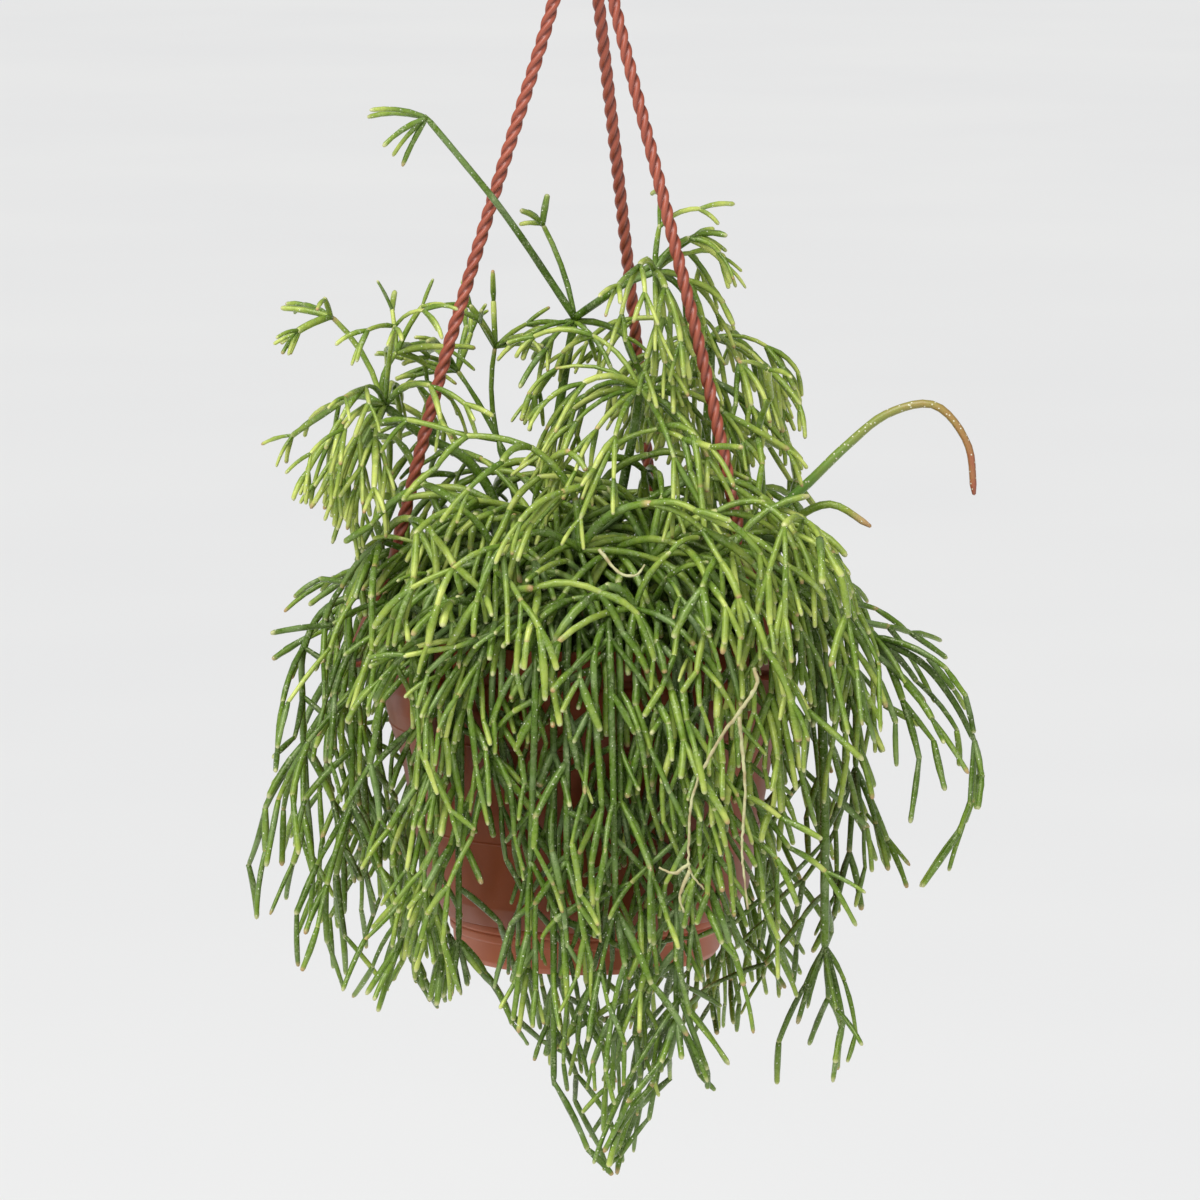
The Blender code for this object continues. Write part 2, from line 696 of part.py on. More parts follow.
def arm_rings(azimuth):
    """The sections of an arm, placed along its line, with its strap turned in under the rim."""
    line = arm_line(azimuth)
    rope = smooth_path(line[line[:, 2] > STRAP_START], ROPE_LAY / 6)
    strap = smooth_path(line[line[:, 2] <= STRAP_START], STRAP_SPAN)
    clip = [polar(azimuth, CLIP_ELBOW, CLIP_HEIGHT), polar(azimuth, CLIP_TIP, CLIP_HEIGHT)]
    path = np.vstack((rope, strap, clip))
    side = polar(azimuth + 90, 1, 0)
    ways = np.diff(path, axis=0)
    ways /= np.linalg.norm(ways, axis=1)[:, None]
    ways = np.vstack((ways[:1], ways[:-1] + ways[1:], ways[-1:]))
    rings = []
    for k, (centre, way) in enumerate(zip(path, ways)):
        flatness = min(max((k - len(rope) + 1) / TURN_RINGS, 0.0), 1.0)
        section = rope_section(min(k, len(rope)) * math.pi / 3, flatness, STRAP_WIDTH, STRAP_THICKNESS)
        normal = np.cross(unit(way), side)
        stretch = ELBOW_STRETCH if k == len(path) - 2 else 1.0
        rings.append(centre + section[:, :1] * side + section[:, 1:] * normal * stretch)
    return np.array(rings)


def make_arm(name, azimuth, finish, home, parent):
    """A hanger arm, lofted through its sections from rope to strap."""
    rings = arm_rings(azimuth)
    count, sides = rings.shape[:2]
    faces = []
    for ring in range(count - 1):
        for k in range(sides):
            j = (k + 1) % sides
            low, high = ring * sides, (ring + 1) * sides
            faces.append((low + k, low + j, high + j, high + k))
    faces.append(tuple(range(sides))[::-1])
    faces.append(tuple((count - 1) * sides + k for k in range(sides)))
    mesh = bpy.data.meshes.new(name)
    mesh.from_pydata((rings.reshape(-1, 3) * MM).tolist(), [], faces)
    shape = bmesh.new()
    shape.from_mesh(mesh)
    bmesh.ops.triangulate(shape, faces=shape.faces)
    bmesh.ops.recalc_face_normals(shape, faces=shape.faces)
    shape.to_mesh(mesh)
    shape.free()
    add_object(name, mesh, finish, home, parent)


def ring_curve(name, sides, home):
    """A closed section of radius one millimetre that tubes are swept with."""
    curve = bpy.data.curves.new(name, "CURVE")
    curve.dimensions = "2D"
    spline = curve.splines.new("POLY")
    spline.points.add(sides - 1)
    angles = 2 * math.pi * np.arange(sides) / sides
    points = np.column_stack((np.cos(angles), np.sin(angles), 0 * angles, 1 / MM + 0 * angles)) * MM
    spline.points.foreach_set("co", points.ravel())
    spline.use_cyclic_u = True
    ring = bpy.data.objects.new(name, curve)
    home.objects.link(ring)
    ring.hide_render = True
    return ring


def tubes(name, paths, radii, sides, home, parent):
    """Closed tubes along the paths, as meshes: swept curves whose caps are welded."""
    guides = []
    ring = ring_curve(f"{name}_section", sides, home)
    for number, points in enumerate(paths):
        curve = bpy.data.curves.new(f"{name}_{number}", "CURVE")
        curve.dimensions = "3D"
        curve.bevel_mode = "OBJECT"
        curve.bevel_object = ring
        curve.use_fill_caps = True
        spline = curve.splines.new("POLY")
        spline.points.add(len(points) - 1)
        spline.points.foreach_set("co", np.column_stack((points * MM, np.ones(len(points)))).ravel())
        spline.points.foreach_set("radius", radii[number])
        guide = bpy.data.objects.new(curve.name, curve)
        home.objects.link(guide)
        guide.parent = parent
        guides.append(guide)
    bpy.context.view_layer.update()
    graph = bpy.context.evaluated_depsgraph_get()
    meshes = [bpy.data.meshes.new_from_object(guide.evaluated_get(graph)) for guide in guides]
    made = []
    for guide, mesh in zip(guides, meshes):
        shape = bmesh.new()
        shape.from_mesh(mesh)
        bmesh.ops.remove_doubles(shape, verts=shape.verts, dist=1e-6)
        bmesh.ops.recalc_face_normals(shape, faces=shape.faces)
        shape.to_mesh(mesh)
        shape.free()
        place = guide.matrix_world.copy()
        label = guide.name
        bpy.data.objects.remove(guide)
        solid = bpy.data.objects.new(label, mesh)
        home.objects.link(solid)
        solid.matrix_world = place
        made.append(solid)
    bpy.data.objects.remove(ring)
    return made


def fuse(made, pieces):
    """Joins a collection of closed pieces to an object in one solid, and removes them."""
    join = made.modifiers.new("join", "BOOLEAN")
    join.operation = "UNION"
    join.operand_type = "COLLECTION"
    join.collection = pieces
    join.solver = "MANIFOLD"
    bpy.context.view_layer.update()
    solid = bpy.data.meshes.new_from_object(made.evaluated_get(bpy.context.evaluated_depsgraph_get()))
    made.modifiers.clear()
    made.data = solid
    shape = bmesh.new()
    shape.from_mesh(solid)
    bmesh.ops.dissolve_limit(shape, angle_limit=FLAT_ANGLE, verts=shape.verts, edges=shape.edges)
    shape.to_mesh(solid)
    shape.free()
    for piece in list(pieces.objects):
        bpy.data.objects.remove(piece)
    bpy.data.collections.remove(pieces)


def stem_radii(count, terminal):
    """A stem's radius at each point: slimmer at its root and, on a joint, at its tip."""
    radii = np.full(count, STEM)
    radii[0] *= ROOT_SLIMNESS
    if terminal:
        radii[-1] *= TIP_SLIMNESS
    return radii


def make_spray(name, paths, finish, home, parent):
    """A spray: every stem a slim tube, fused where they branch."""
    pieces = new_collection(f"{name}_joints")
    radii = [stem_radii(len(path), number > 0 and len(path) < 4) for number, path in enumerate(paths)]
    stems = tubes(f"{name}_stem", paths, radii, STEM_SIDES, pieces, parent)
    spray = stems[0]
    spray.name = name
    spray.data.materials.append(finish)
    pieces.objects.unlink(spray)
    home.objects.link(spray)
    if len(stems) > 1:
        fuse(spray, pieces)
    else:
        bpy.data.collections.remove(pieces)


def hook_line():
    """The hook's centre line: up from the hub, out to one side and over the axis."""
    centre = HANG_DROP - HOOK_RADIUS + HOOK_WIRE
    foot = HUB_BASE + HUB_HEIGHT
    neck = [(x, 0, foot + z) for x, z in HOOK_NECK]
    angles = np.radians(HOOK_ARC)
    arc = [(HOOK_RADIUS * math.cos(a), 0, centre + HOOK_RADIUS * math.sin(a)) for a in angles]
    tip = [(x, 0, centre + z) for x, z in HOOK_TIP]
    return smooth_path([*neck, *arc, *tip], HOOK_SPAN)


def make_hook(finish, home, cutters, parent):
    """The hub that holds the arms' tops, with the hook on it."""
    hub = turned("hanger_hook", HUB_OUTSIDE, HUB_STEPS, finish, home, parent)
    pieces = new_collection("hook_wire")
    line = hook_line()
    tubes("wire", [line], [np.full(len(line), HOOK_WIRE)], WIRE_SIDES, pieces, parent)
    fuse(hub, pieces)
    for azimuth in ARM_AZIMUTHS.values():
        x, y, _ = polar(azimuth, ARM_LINE[0][0], 0)
        high = HUB_BASE + ARM_SEAT_DEPTH + FIT_GAP
        name = f"seat_{azimuth:.0f}"
        upright_cutter(name, x, y, HUB_BASE - 2, high, SEAT_RADIUS, SEAT_SIDES, cutters, parent)
    cut_all(hub, cutters)


def new_collection(name):
    """A collection in the scene."""
    made = bpy.data.collections.new(name)
    bpy.context.scene.collection.children.link(made)
    return made


def build():
    """Clears the scene and makes every piece."""
    for old in list(bpy.data.objects):
        bpy.data.objects.remove(old)
    home = new_collection("hanging_rhipsalis")
    rim = bpy.data.objects.new("rim_top", None)
    rim.location = (0, 0, -HANG_DROP * MM)
    home.objects.link(rim)
    plant = {name: paths for name, paths in grow_plant().items() if paths}
    green = material("stem_green", (0.09, 0.21, 0.04), 0.5)
    for name, paths in plant.items():
        make_spray(name, paths, green, home, rim)
    rope = material("hanger_plastic", (0.46, 0.12, 0.075), 0.4)
    for side, azimuth in ARM_AZIMUTHS.items():
        make_arm(f"hanger_arm_{side}", azimuth, rope, home, rim)
    make_hook(rope, home, new_collection("hub_cutters"), rim)
    make_saucer(home, rim)
    make_pot(home, new_collection("pot_cutters"), rim)
    roots = [paths[0][0][:2] for paths in plant.values()]
    make_soil(roots, home, new_collection("soil_cutters"), rim)


build()
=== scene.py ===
"""The looks of the hanging rhipsalis: its pot, saucer, rope hanger and soil, and every stem of it.

The plant grows by the same rule and the same draws as the solids, so each fine spray lies on its solid,
and then thickens: each tip and each cane of those sprays grows further joints. Sizes are in millimetres,
with heights counted from the top of the pot's rim, and become metres as each mesh is made.
"""
import math
from collections import namedtuple
from functools import partial

import bpy
import numpy as np
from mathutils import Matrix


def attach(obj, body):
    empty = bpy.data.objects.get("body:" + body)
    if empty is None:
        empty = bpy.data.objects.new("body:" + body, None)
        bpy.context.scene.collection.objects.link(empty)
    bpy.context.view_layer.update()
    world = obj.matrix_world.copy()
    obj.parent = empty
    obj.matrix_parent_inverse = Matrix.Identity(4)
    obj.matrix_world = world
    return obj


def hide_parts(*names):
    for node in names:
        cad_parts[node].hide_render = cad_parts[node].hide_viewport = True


MM = 0.001
TURN = 2 * math.pi

# Hanging
HANG_DROP = 353.0  # from the hook's bearing point down to the top of the rim
HUB_BASE = 309.0  # underside of the hub, above the rim
HUB_RADIUS = 12.0
HUB_HEIGHT = 11.0
HOOK_RADIUS = 11.5  # centre line of the hook's bend
HOOK_WIRE = 2.5
HOOK_NECK = ((0.0, -4.0), (0.0, 2.0), (4.0, 8.0), (10.5, 15.0))  # off the axis and above the hub
HOOK_ARC = range(0, 181, 20)  # degrees round the bend
HOOK_TIP = ((-11.5, -5.0), (-13.0, -9.0))  # off the axis and above the bend's centre

# Pot, saucer and soil
RIM_RADIUS = 85.0
RIM_BAND = 12.0
NECK_RADIUS = 81.0
WALL = 2.4
FOOT_RADIUS = 53.0
FOOT_BASE = -134.0
SAUCER_RADIUS = 58.0
SAUCER_TOP = -120.3
SAUCER_BASE = -139.0
SOIL_TOP = -14.0
SOIL_GAP = 0.6
FIT_GAP = 0.3  # clearance between pieces that rest on each other

# Hanger arms: the azimuth of each, anticlockwise from +X
ARM_AZIMUTHS = {"left": 193.0, "back": 70.0, "right": -37.0}
ARM_SEAT_DEPTH = 5.0
ARM_LINE = (  # radius from the axis and height, down one arm
    (6.0, HUB_BASE + ARM_SEAT_DEPTH), (6.6, 296.0), (13.0, 260.0), (40.0, 175.0), (63.0, 100.0),
    (80.5, 34.0), (88.0, 16.0), (95.5, -2.0), (100.0, -11.0),
)
ROPE_LAY = 20.4  # length of one full turn of the strands
STRAP_START = 34.0  # height at which the rope turns into a flat strap
STRAP_WIDTH = 8.0
STRAP_THICKNESS = 2.6
ARM_SPAN = 6.0
CLIP_HEIGHT = -14.0  # middle of the tongue that grips under the rim
CLIP_TIP = 82.2
CLIP_ELBOW = 101.0  # how far out the strap turns in
CLIP_LINE = (  # radius and height, from there to the end of the tongue
    (CLIP_ELBOW - 0.2, CLIP_HEIGHT + 1.6), (CLIP_ELBOW - 1.6, CLIP_HEIGHT),
    (CLIP_ELBOW - 6, CLIP_HEIGHT - 0.1), (CLIP_TIP + 0.4, CLIP_HEIGHT),
)

# Curves
CURVE_CUTS = 12  # points on a curve from one of its own points to the next
STRAIGHT_CUTS = 12  # points on a straight joint at which it is tested against the pot
TINY = 1e-9  # keeps parallel segments from a division by zero

# Stems
STEM = 2.4  # from a stem's middle to the corners of its section
ROOT_DEPTH = 12.0
HOLE_RADIUS = 3.3
HOLE_RIM = 0.6  # soil left between the hole of one stem and the next
NODE_GAP = 0.4
SINK = 1.5  # how far a joint's root lies back inside what it grows from
SPAN = 23.0  # longest straight run of a stem
STUB = 5.0  # straight up from the soil before a stem leans
OWN_GAP = 4.6  # between the middles of two stems of one spray, away from where they branch
BRANCH_FREE = 8.0  # the length by a joint's root where it may come closer than that
BRANCH_SHARE = 0.9  # and the most of its first span that this may be
PLANT_GAP = 0.7  # between a stem and the pot, the saucer or the soil
ARM_ROOM = 4.6  # half the width that stems leave free round a hanger arm
CLIP_ROOM = 6.0
CANE_STEP = 3.0  # the steps at which a cane is tested against the pot
CANE_TRIES = 90
CANE_NUDGE = 0.12  # how much further each new try may move a cane's points
ASIDE = (0.31, 0.87, 0.38)  # a direction that no stem has, from which turns are counted
FORK_SPREAD = 26.0
FORK_SHRINK = 0.82  # length of each level of joints over the level before
SIDE_SPREAD = 58.0  # angle at which joints leave the side of a hanging cane
SIDE_START = 3  # the first bend of a hanging cane that has side joints
SEED = 46

# How a joint is drawn: how many tries, how unevenly a whorl's joints stand round their stem, in radians,
# and how much more so at each new try, the least and the most of its spread and its length, over its
# habit's, how much shorter it is at each new try, and how unsteadily it runs
Draw = namedtuple("Draw", "tries turn growth spreads lengths loss wander")
COARSE = Draw(14, 0.25, 0.07, (0.75, 1.2), (0.82, 1.18), 0.03, 0)
FINE = Draw(9, 0.3, 0.25, (0.6, 1.35), (0.72, 1.25), 0.05, 0.055)

# How the plant spreads to the left and the right, by height
WIDTH_BY_HEIGHT = (
    (-238, -12, 20), (-200, -40, 118), (-159, -104, 118), (-125, -153, 140), (-96, -140, 156),
    (-54, -129, 164), (-12, -133, 152), (9, -128, 112), (30, -100, 108), (52, -128, 92),
    (72, -141, 90), (93, -137, 90), (130, -130, 86), (155, -60, 70), (215, -98, 60),
)
DEPTH_REACH = 122.0
FRONT_RISE = 0.23  # how much higher the plant ends for each millimetre that it hangs further in front

# How low the plant hangs, from its left to its right
LOWEST_BY_SIDE = (
    (-155, -126), (-130, -142), (-98, -166), (-84, -170), (-76, -148), (-60, -168), (-45, -156),
    (-34, -168), (-22, -188), (-6, -202), (2, -232), (16, -238), (28, -212), (38, -188),
    (52, -204), (66, -186), (78, -198), (112, -196), (120, -112), (140, -118), (156, -100),
    (164, -66),
)

# A whorl: how many joints, their angle off the stem, their length, how strongly they droop,
# how many joints grow on each tip after that, level by level, which way the whorl leans, and how
# many joints grow on the side of the cane at each of its bends. The last six are for the fine spray:
# how many levels of joints it has, how many joints a tip bears, how long the outermost ones are and how
# long those between are, the share of tips that are young, and how stout the joints are
Habit = namedtuple(
    "Habit",
    "count spread length sag forks lean side depth bearing finger middle fresh stout",
    defaults=((0.0, 0.0, 0.0), 0.0, 0, 0.0, 16.0, 24.0, 0.0, 1.0),
)
UMBRELLA = Habit(8, 68, 33, 1.0, (1.2,), depth=3, bearing=2.5, finger=14, middle=22, fresh=0.8)
FAN = Habit(6, 40, 31, 0.6, (), (-1.4, -0.1, -1.2), fresh=1.0, stout=0.88)
TUFT = Habit(3, 40, 20, 0.4, (0.4,), depth=2, bearing=2.0, finger=13, fresh=0.5)
SPRIG = Habit(3, 30, 13, 0.6, (), depth=1, fresh=0.6)
CROWN = Habit(3, 72, 26, 0.9, (0.7,), depth=2, bearing=1.6, finger=17, fresh=0.5)
MOUND = Habit(
    6, 68, 35, 0.9, (0.8, 0.2), depth=5, bearing=1.75, finger=18, middle=26, fresh=0.08, stout=1.3
)
FALL = Habit(4, 36, 32, 0.55, (0.8,), side=0.5, depth=4, bearing=1.36, finger=20, fresh=0.08, stout=1.1)
BARE = Habit(0, 0, 0, 0, ())

# How a cane rises from the soil where it follows a rule: how far out it stands by its first bend, the
# shares of its height that a mound's cane has reached at its bends, and a hanging cane's own heights
MOUND_SET = 3.0
MOUND_RISES = (0.3, 0.75)
FALL_SET = 2.0
FALL_HEIGHTS = (2.0, -4.0)

Cane = namedtuple("Cane", "points habit")

# Sprays placed one by one. A first cane starts in the soil, and later ones on the end of an earlier one
PLACED_SPRAYS = {
    "spray_tall": (
        Cane(((-13, 12, SOIL_TOP), (-17, 12, 49), (-11, 8, 91), (-5, 4, 126)), CROWN),
        Cane(((-5, 4, 126), (-19, -2, 148), (-37, -20, 176), (-66, -25, 212)), FAN),
        Cane(((-5, 4, 126), (-11, 12, 148), (-19, 14, 165)), SPRIG),
        Cane(((-5, 4, 126), (22, 0, 145), (46, -6, 162)), SPRIG._replace(lean=(0.9, 0, -0.1))),
        Cane(((-5, 4, 126), (14, -14, 141), (29, -22, 148)), UMBRELLA._replace(count=5, length=26)),
    ),
    "spray_left": (
        Cane(
            ((-30, 0, SOIL_TOP), (-40, -2, 55), (-65, -8, 77), (-84, -12, 92)),
            UMBRELLA._replace(lean=(-0.8, 0, 0), length=36),
        ),
        Cane(((-84, -12, 92), (-91, -6, 110), (-106, -10, 129)), TUFT._replace(lean=(-0.9, 0, 0))),
        Cane(((-84, -12, 92), (-84, 2, 103), (-78, 10, 112)), TUFT),
    ),
    "spray_left_back": (
        Cane(((-22, 26, SOIL_TOP), (-28, 29, 40), (-37, 34, 71)), BARE),
        Cane(((-37, 34, 71), (-45, 37, 86), (-55, 39, 101)), TUFT._replace(count=4)),
        Cane(((-37, 34, 71), (-52, 34, 74), (-64, 32, 77)), TUFT._replace(lean=(-0.6, 0, -0.4))),
        Cane(((-37, 34, 71), (-40, 34, 90), (-38, 32, 112)), TUFT._replace(lean=(0.3, 0, 0))),
    ),
    "spray_centre": (
        Cane(
            ((10, -8, SOIL_TOP), (13, -13, 48), (18, -22, 74), (22, -32, 102)),
            UMBRELLA._replace(count=10, length=41),
        ),
    ),
    "spray_right_back": (
        Cane(
            ((40, 28, SOIL_TOP), (47, 30, 42), (50, 30, 78), (52, 30, 116)),
            UMBRELLA._replace(count=9, length=35),
        ),
    ),
    "spray_right_mound": (
        Cane(((46, -30, SOIL_TOP), (52, -40, 14), (60, -50, 37)), UMBRELLA._replace(count=8, length=30)),
    ),
    "shoot_long": (
        Cane(
            (
                (60, -4, SOIL_TOP), (69, -8, 33), (88, -12, 56), (112, -16, 80), (129, -18, 92),
                (139, -18, 94), (151, -20, 86), (157, -20, 74), (159, -22, 56),
            ),
            BARE,
        ),
    ),
    "shoot_short": (
        Cane(((66, 8, SOIL_TOP), (74, 0, 30), (100, -8, 50), (117, -10, 41)), BARE),
    ),
    "spray_right": (
        Cane(((64, -18, SOIL_TOP), (76, -22, 9), (96, -24, 9), (120, -30, -3)), FALL._replace(count=5)),
        Cane(((120, -30, -3), (143, -34, -17), (160, -34, -46)), FALL),
    ),
    "spray_right_low": (
        Cane(((50, -14, SOIL_TOP), (74, -36, 14), (92, -42, 2), (97, -44, -50), (98, -40, -131)), FALL),
    ),
}

# Sprays that follow a rule: azimuth, radius of the root, how far out the bend reaches, its height and,
# in the falls, how deep the cane hangs before its whorl
Arching = namedtuple("Arching", "habit name azimuth root reach height drop", defaults=(None,))
MOUNDS = (
    ("mound_front_left", -138, 36, 50, 39),
    ("mound_front", -106, 30, 44, 42),
    ("mound_front_right", -66, 38, 50, 37),
    ("mound_left", 172, 52, 60, 31),
    ("mound_rim_front", -90, 58, 72, 21),
    ("mound_right", 12, 44, 62, 31),
    ("mound_back_right", 48, 56, 66, 31),
    ("mound_back", 96, 46, 60, 39),
    ("mound_back_left", 138, 52, 64, 34),
)
FALLS = (
    ("fall_left_back", 163, 64, 112, 14, 40),
    ("fall_left", 184, 66, 118, 12, 52),
    ("fall_left_front", 207, 66, 108, 14, 70),
    ("fall_front_left", 228, 64, 100, 16, 96),
    ("fall_front_mid_left", 247, 66, 98, 14, 44),
    ("fall_front_left_deep", 238, 52, 98, 20, 120),
    ("fall_front_left_high", 236, 72, 94, 9, 22),
    ("fall_front_deep", 262, 56, 96, 18, 176),
    ("fall_front_high", 270, 72, 93, 8, 26),
    ("fall_front_mid", 278, 68, 98, 12, 60),
    ("fall_front_mid_deep", 276, 46, 99, 22, 104),
    ("fall_front_right_deep", 292, 56, 97, 18, 150),
    ("fall_front_right", 306, 68, 100, 14, 52),
    ("fall_front_right_high", 290, 73, 93, 8, 22),
    ("fall_right", 2, 70, 112, 10, 64),
    ("fall_right_back", 27, 68, 106, 14, 46),
    ("fall_back_right", 50, 70, 100, 12, 96),
    ("fall_back_mid", 86, 66, 98, 14, 52),
    ("fall_back_deep", 108, 58, 98, 16, 120),
    ("fall_back_left", 128, 68, 102, 12, 60),
    ("fall_back_low", 148, 62, 104, 14, 84),
)
# Further canes, in the looks alone: some that hang deep in front, and some that close the mound
MORE_FALLS = (
    ("fall_front_deep", 266, 60, 90, 14, 150),
    ("fall_front_deep", 257, 58, 94, 14, 122),
    ("fall_front_right_deep", 284, 58, 92, 14, 128),
    ("fall_front_right_deep", 298, 58, 94, 14, 112),
    ("fall_front_mid_deep", 275, 52, 95, 14, 90),
)
MORE_MOUNDS = (
    ("mound_front_right", -48, 60, 92, 40),
    ("mound_front_right", -30, 62, 98, 36),
    ("mound_right", -16, 62, 92, 34),
    ("mound_left", -158, 60, 84, 36),
    ("mound_front_left", -122, 24, 62, 42),
    ("mound_front_left", -150, 28, 66, 40),
    ("mound_front", -94, 26, 66, 43),
    ("mound_front_right", -74, 24, 62, 42),
    ("mound_front_right", -58, 28, 70, 38),
    ("mound_rim_front", -100, 62, 78, 20),
    ("mound_rim_front", -80, 64, 80, 18),
    ("mound_rim_front", -118, 64, 80, 20),
)
MOUND_SPRAYS = [Arching(MOUND, *row) for row in MOUNDS]
FALL_SPRAYS = [Arching(FALL, *row) for row in FALLS]
ARCHING_SPRAYS = MOUND_SPRAYS + FALL_SPRAYS
FURTHER_CANES = [Arching(FALL, *row) for row in MORE_FALLS]
FURTHER_CANES += [Arching(MOUND, *row) for row in MORE_MOUNDS]

# Outside of the pot from the rim down to the foot, and of the saucer
POT_OUTSIDE = (
    (RIM_RADIUS - 0.8, 0.0), (RIM_RADIUS, -0.8), (RIM_RADIUS, -RIM_BAND),
    (NECK_RADIUS, -RIM_BAND - 0.3), (NECK_RADIUS, -15.8), (82.2, -16.4), (84.2, -26.0),
    (83.7, -34.0), (81.9, -42.0), (77.0, -57.0), (67.4, -111.0), (61.8, -120.0),
    (FOOT_RADIUS, -120.0), (FOOT_RADIUS, FOOT_BASE),
)
POT_INSIDE = (
    (FOOT_RADIUS - WALL, FOOT_BASE + WALL), (FOOT_RADIUS - WALL, -117.2), (59.6, -117.2),
    (65.0, -110.6), (74.6, -56.6), (79.4, -41.6), (81.4, -28.0), (78.6, -17.0), (78.6, -11.6),
    (82.4, -9.0), (RIM_RADIUS - 2.0, 0.0),
)
SAUCER_OUTSIDE = (
    (SAUCER_RADIUS - 0.4, SAUCER_TOP), (SAUCER_RADIUS, -121.0), (SAUCER_RADIUS, -123.4),
    (SAUCER_RADIUS - 1.2, -124.0), (SAUCER_RADIUS - 0.6, -124.8), (SAUCER_RADIUS - 0.9, -127.6),
    (SAUCER_RADIUS - 2.0, -128.2), (SAUCER_RADIUS - 2.6, -136.5), (SAUCER_RADIUS - 4.4, SAUCER_BASE),
)
SAUCER_INSIDE = (
    (FOOT_RADIUS + 0.6, FOOT_BASE - FIT_GAP), (FOOT_RADIUS + 1.2, -129.0),
    (FOOT_RADIUS + 2.2, SAUCER_TOP),
)
HUB_TOP = HUB_BASE + HUB_HEIGHT
HUB_OUTSIDE = (
    (0.0, HUB_TOP), (5.0, HUB_TOP), (HUB_RADIUS - 2.5, HUB_TOP - 2.0), (HUB_RADIUS, HUB_TOP - 6.0),
    (HUB_RADIUS, HUB_BASE + 1.0), (HUB_RADIUS - 1.0, HUB_BASE), (0.0, HUB_BASE),
)


def unit(vector):
    """The vector at length one."""
    return vector / np.linalg.norm(vector)


def polar(azimuth, radius, height):
    """A point from its azimuth in degrees, its radius from the axis and its height."""
    angle = math.radians(azimuth)
    return np.array((radius * math.cos(angle), radius * math.sin(angle), height))


def spans_of(lines):
    """The lengths of the spans of lines."""
    return np.linalg.norm(np.diff(lines, axis=-2), axis=-1)


def smooth_path(points, step):
    """A Catmull-Rom curve through the points, cut into even spans no longer than the step."""
    points = np.asarray(points, float)
    ends = np.vstack((2 * points[0] - points[1], points, 2 * points[-1] - points[-2]))
    t = np.linspace(0, 1, CURVE_CUTS, endpoint=False)[:, None]
    runs = []
    for k in range(len(points) - 1):
        p, q, r, s = ends[k : k + 4]
        bend, twist = 2 * p - 5 * q + 4 * r - s, 3 * q - p - 3 * r + s
        runs.append((2 * q + (r - p) * t + bend * t**2 + twist * t**3) / 2)
    dense = np.vstack((*runs, points[-1:]))
    along = np.concatenate(([0], np.cumsum(spans_of(dense))))
    even = np.linspace(0, along[-1], math.ceil(along[-1] / step) + 1)
    return np.column_stack([np.interp(even, along, dense[:, axis]) for axis in range(3)])


def segment_gaps(p, q, starts, ends):
    """The least distance from the segment p to q to each of the other segments."""
    own, other, off = q - p, ends - starts, p - starts
    own_square = own @ own
    other_square = (other * other).sum(1)
    mixed, own_off, other_off = other @ own, off @ own, (other * off).sum(1)
    spread = np.maximum(own_square * other_square - mixed**2, TINY)
    s = np.clip((mixed * other_off - own_off * other_square) / spread, 0, 1)
    t = np.clip((mixed * s + other_off) / other_square, 0, 1)
    s = np.clip((mixed * t - own_off) / own_square, 0, 1)
    return np.linalg.norm(off + s[:, None] * own - t[:, None] * other, axis=1)


def arm_line(azimuth):
    """The centre line of a hanger arm from its seat in the hub to where its strap turns in."""
    return smooth_path([polar(azimuth, radius, height) for radius, height in ARM_LINE], ARM_SPAN)


class Thicket:
    """Everything placed so far, as straight segments with a radius and the spray that owns them."""

    def __init__(self):
        self.starts, self.ends = np.empty((2, 0, 3))
        self.radii = np.empty(0)
        self.owners = np.empty(0, int)

    def add(self, points, radius, owner):
        """Records a path as segments."""
        spans = len(points) - 1
        self.starts = np.vstack((self.starts, points[:-1]))
        self.ends = np.vstack((self.ends, points[1:]))
        self.radii = np.append(self.radii, np.full(spans, radius))
        self.owners = np.append(self.owners, np.full(spans, owner))

    def room(self, points, chosen, thick=1):
        """The least gap between a path and the chosen segments: from their faces or, if they aren't
        thick, from their middle lines."""
        if not chosen.any():
            return math.inf
        starts, ends, radii = self.starts[chosen], self.ends[chosen], self.radii[chosen] * thick
        gaps = [segment_gaps(p, q, starts, ends) - radii for p, q in zip(points[:-1], points[1:])]
        return float(np.min(gaps))

    def fits(self, points, owner, radius, gap, own_gap, near=math.inf):
        """True if a joint keeps clear of other sprays and, past its root, of its own. Only segments
        that start near its middle are tested."""
        tested = (np.abs(self.starts - points.mean(axis=0)) < near).all(axis=1)
        own = self.owners == owner
        free = min(BRANCH_FREE / np.linalg.norm(points[1] - points[0]), BRANCH_SHARE)
        past_root = np.vstack((points[0] * (1 - free) + points[1] * free, points[1:]))
        if self.room(points, tested & ~own) - radius < gap:
            return False
        return self.room(past_root, tested & own, thick=0) >= own_gap


OUTSIDE_HEIGHTS = np.array([height for _, height in POT_OUTSIDE[::-1]])
OUTSIDE_RADII = np.maximum.accumulate([radius for radius, _ in POT_OUTSIDE[::-1]])


def clears_pot(points, radius):
    """True if a path stays out of the pot, the saucer and the soil."""
    margin = radius + PLANT_GAP
    if len(points) > 2:
        points = smooth_path(points, CANE_STEP)
    else:
        points = np.linspace(points[0], points[-1], STRAIGHT_CUTS)
    out = np.hypot(points[:, 0], points[:, 1])
    height = points[:, 2]
    wall = np.interp(height, OUTSIDE_HEIGHTS, OUTSIDE_RADII, left=SAUCER_RADIUS)
    wall = np.maximum(wall, SAUCER_RADIUS)
    above = height > margin
    below = height < SAUCER_BASE - margin
    outside = out > wall + margin
    inside = (out < NECK_RADIUS - WALL - margin) & (height > SOIL_TOP + margin)
    return bool((above | below | outside | inside).all())


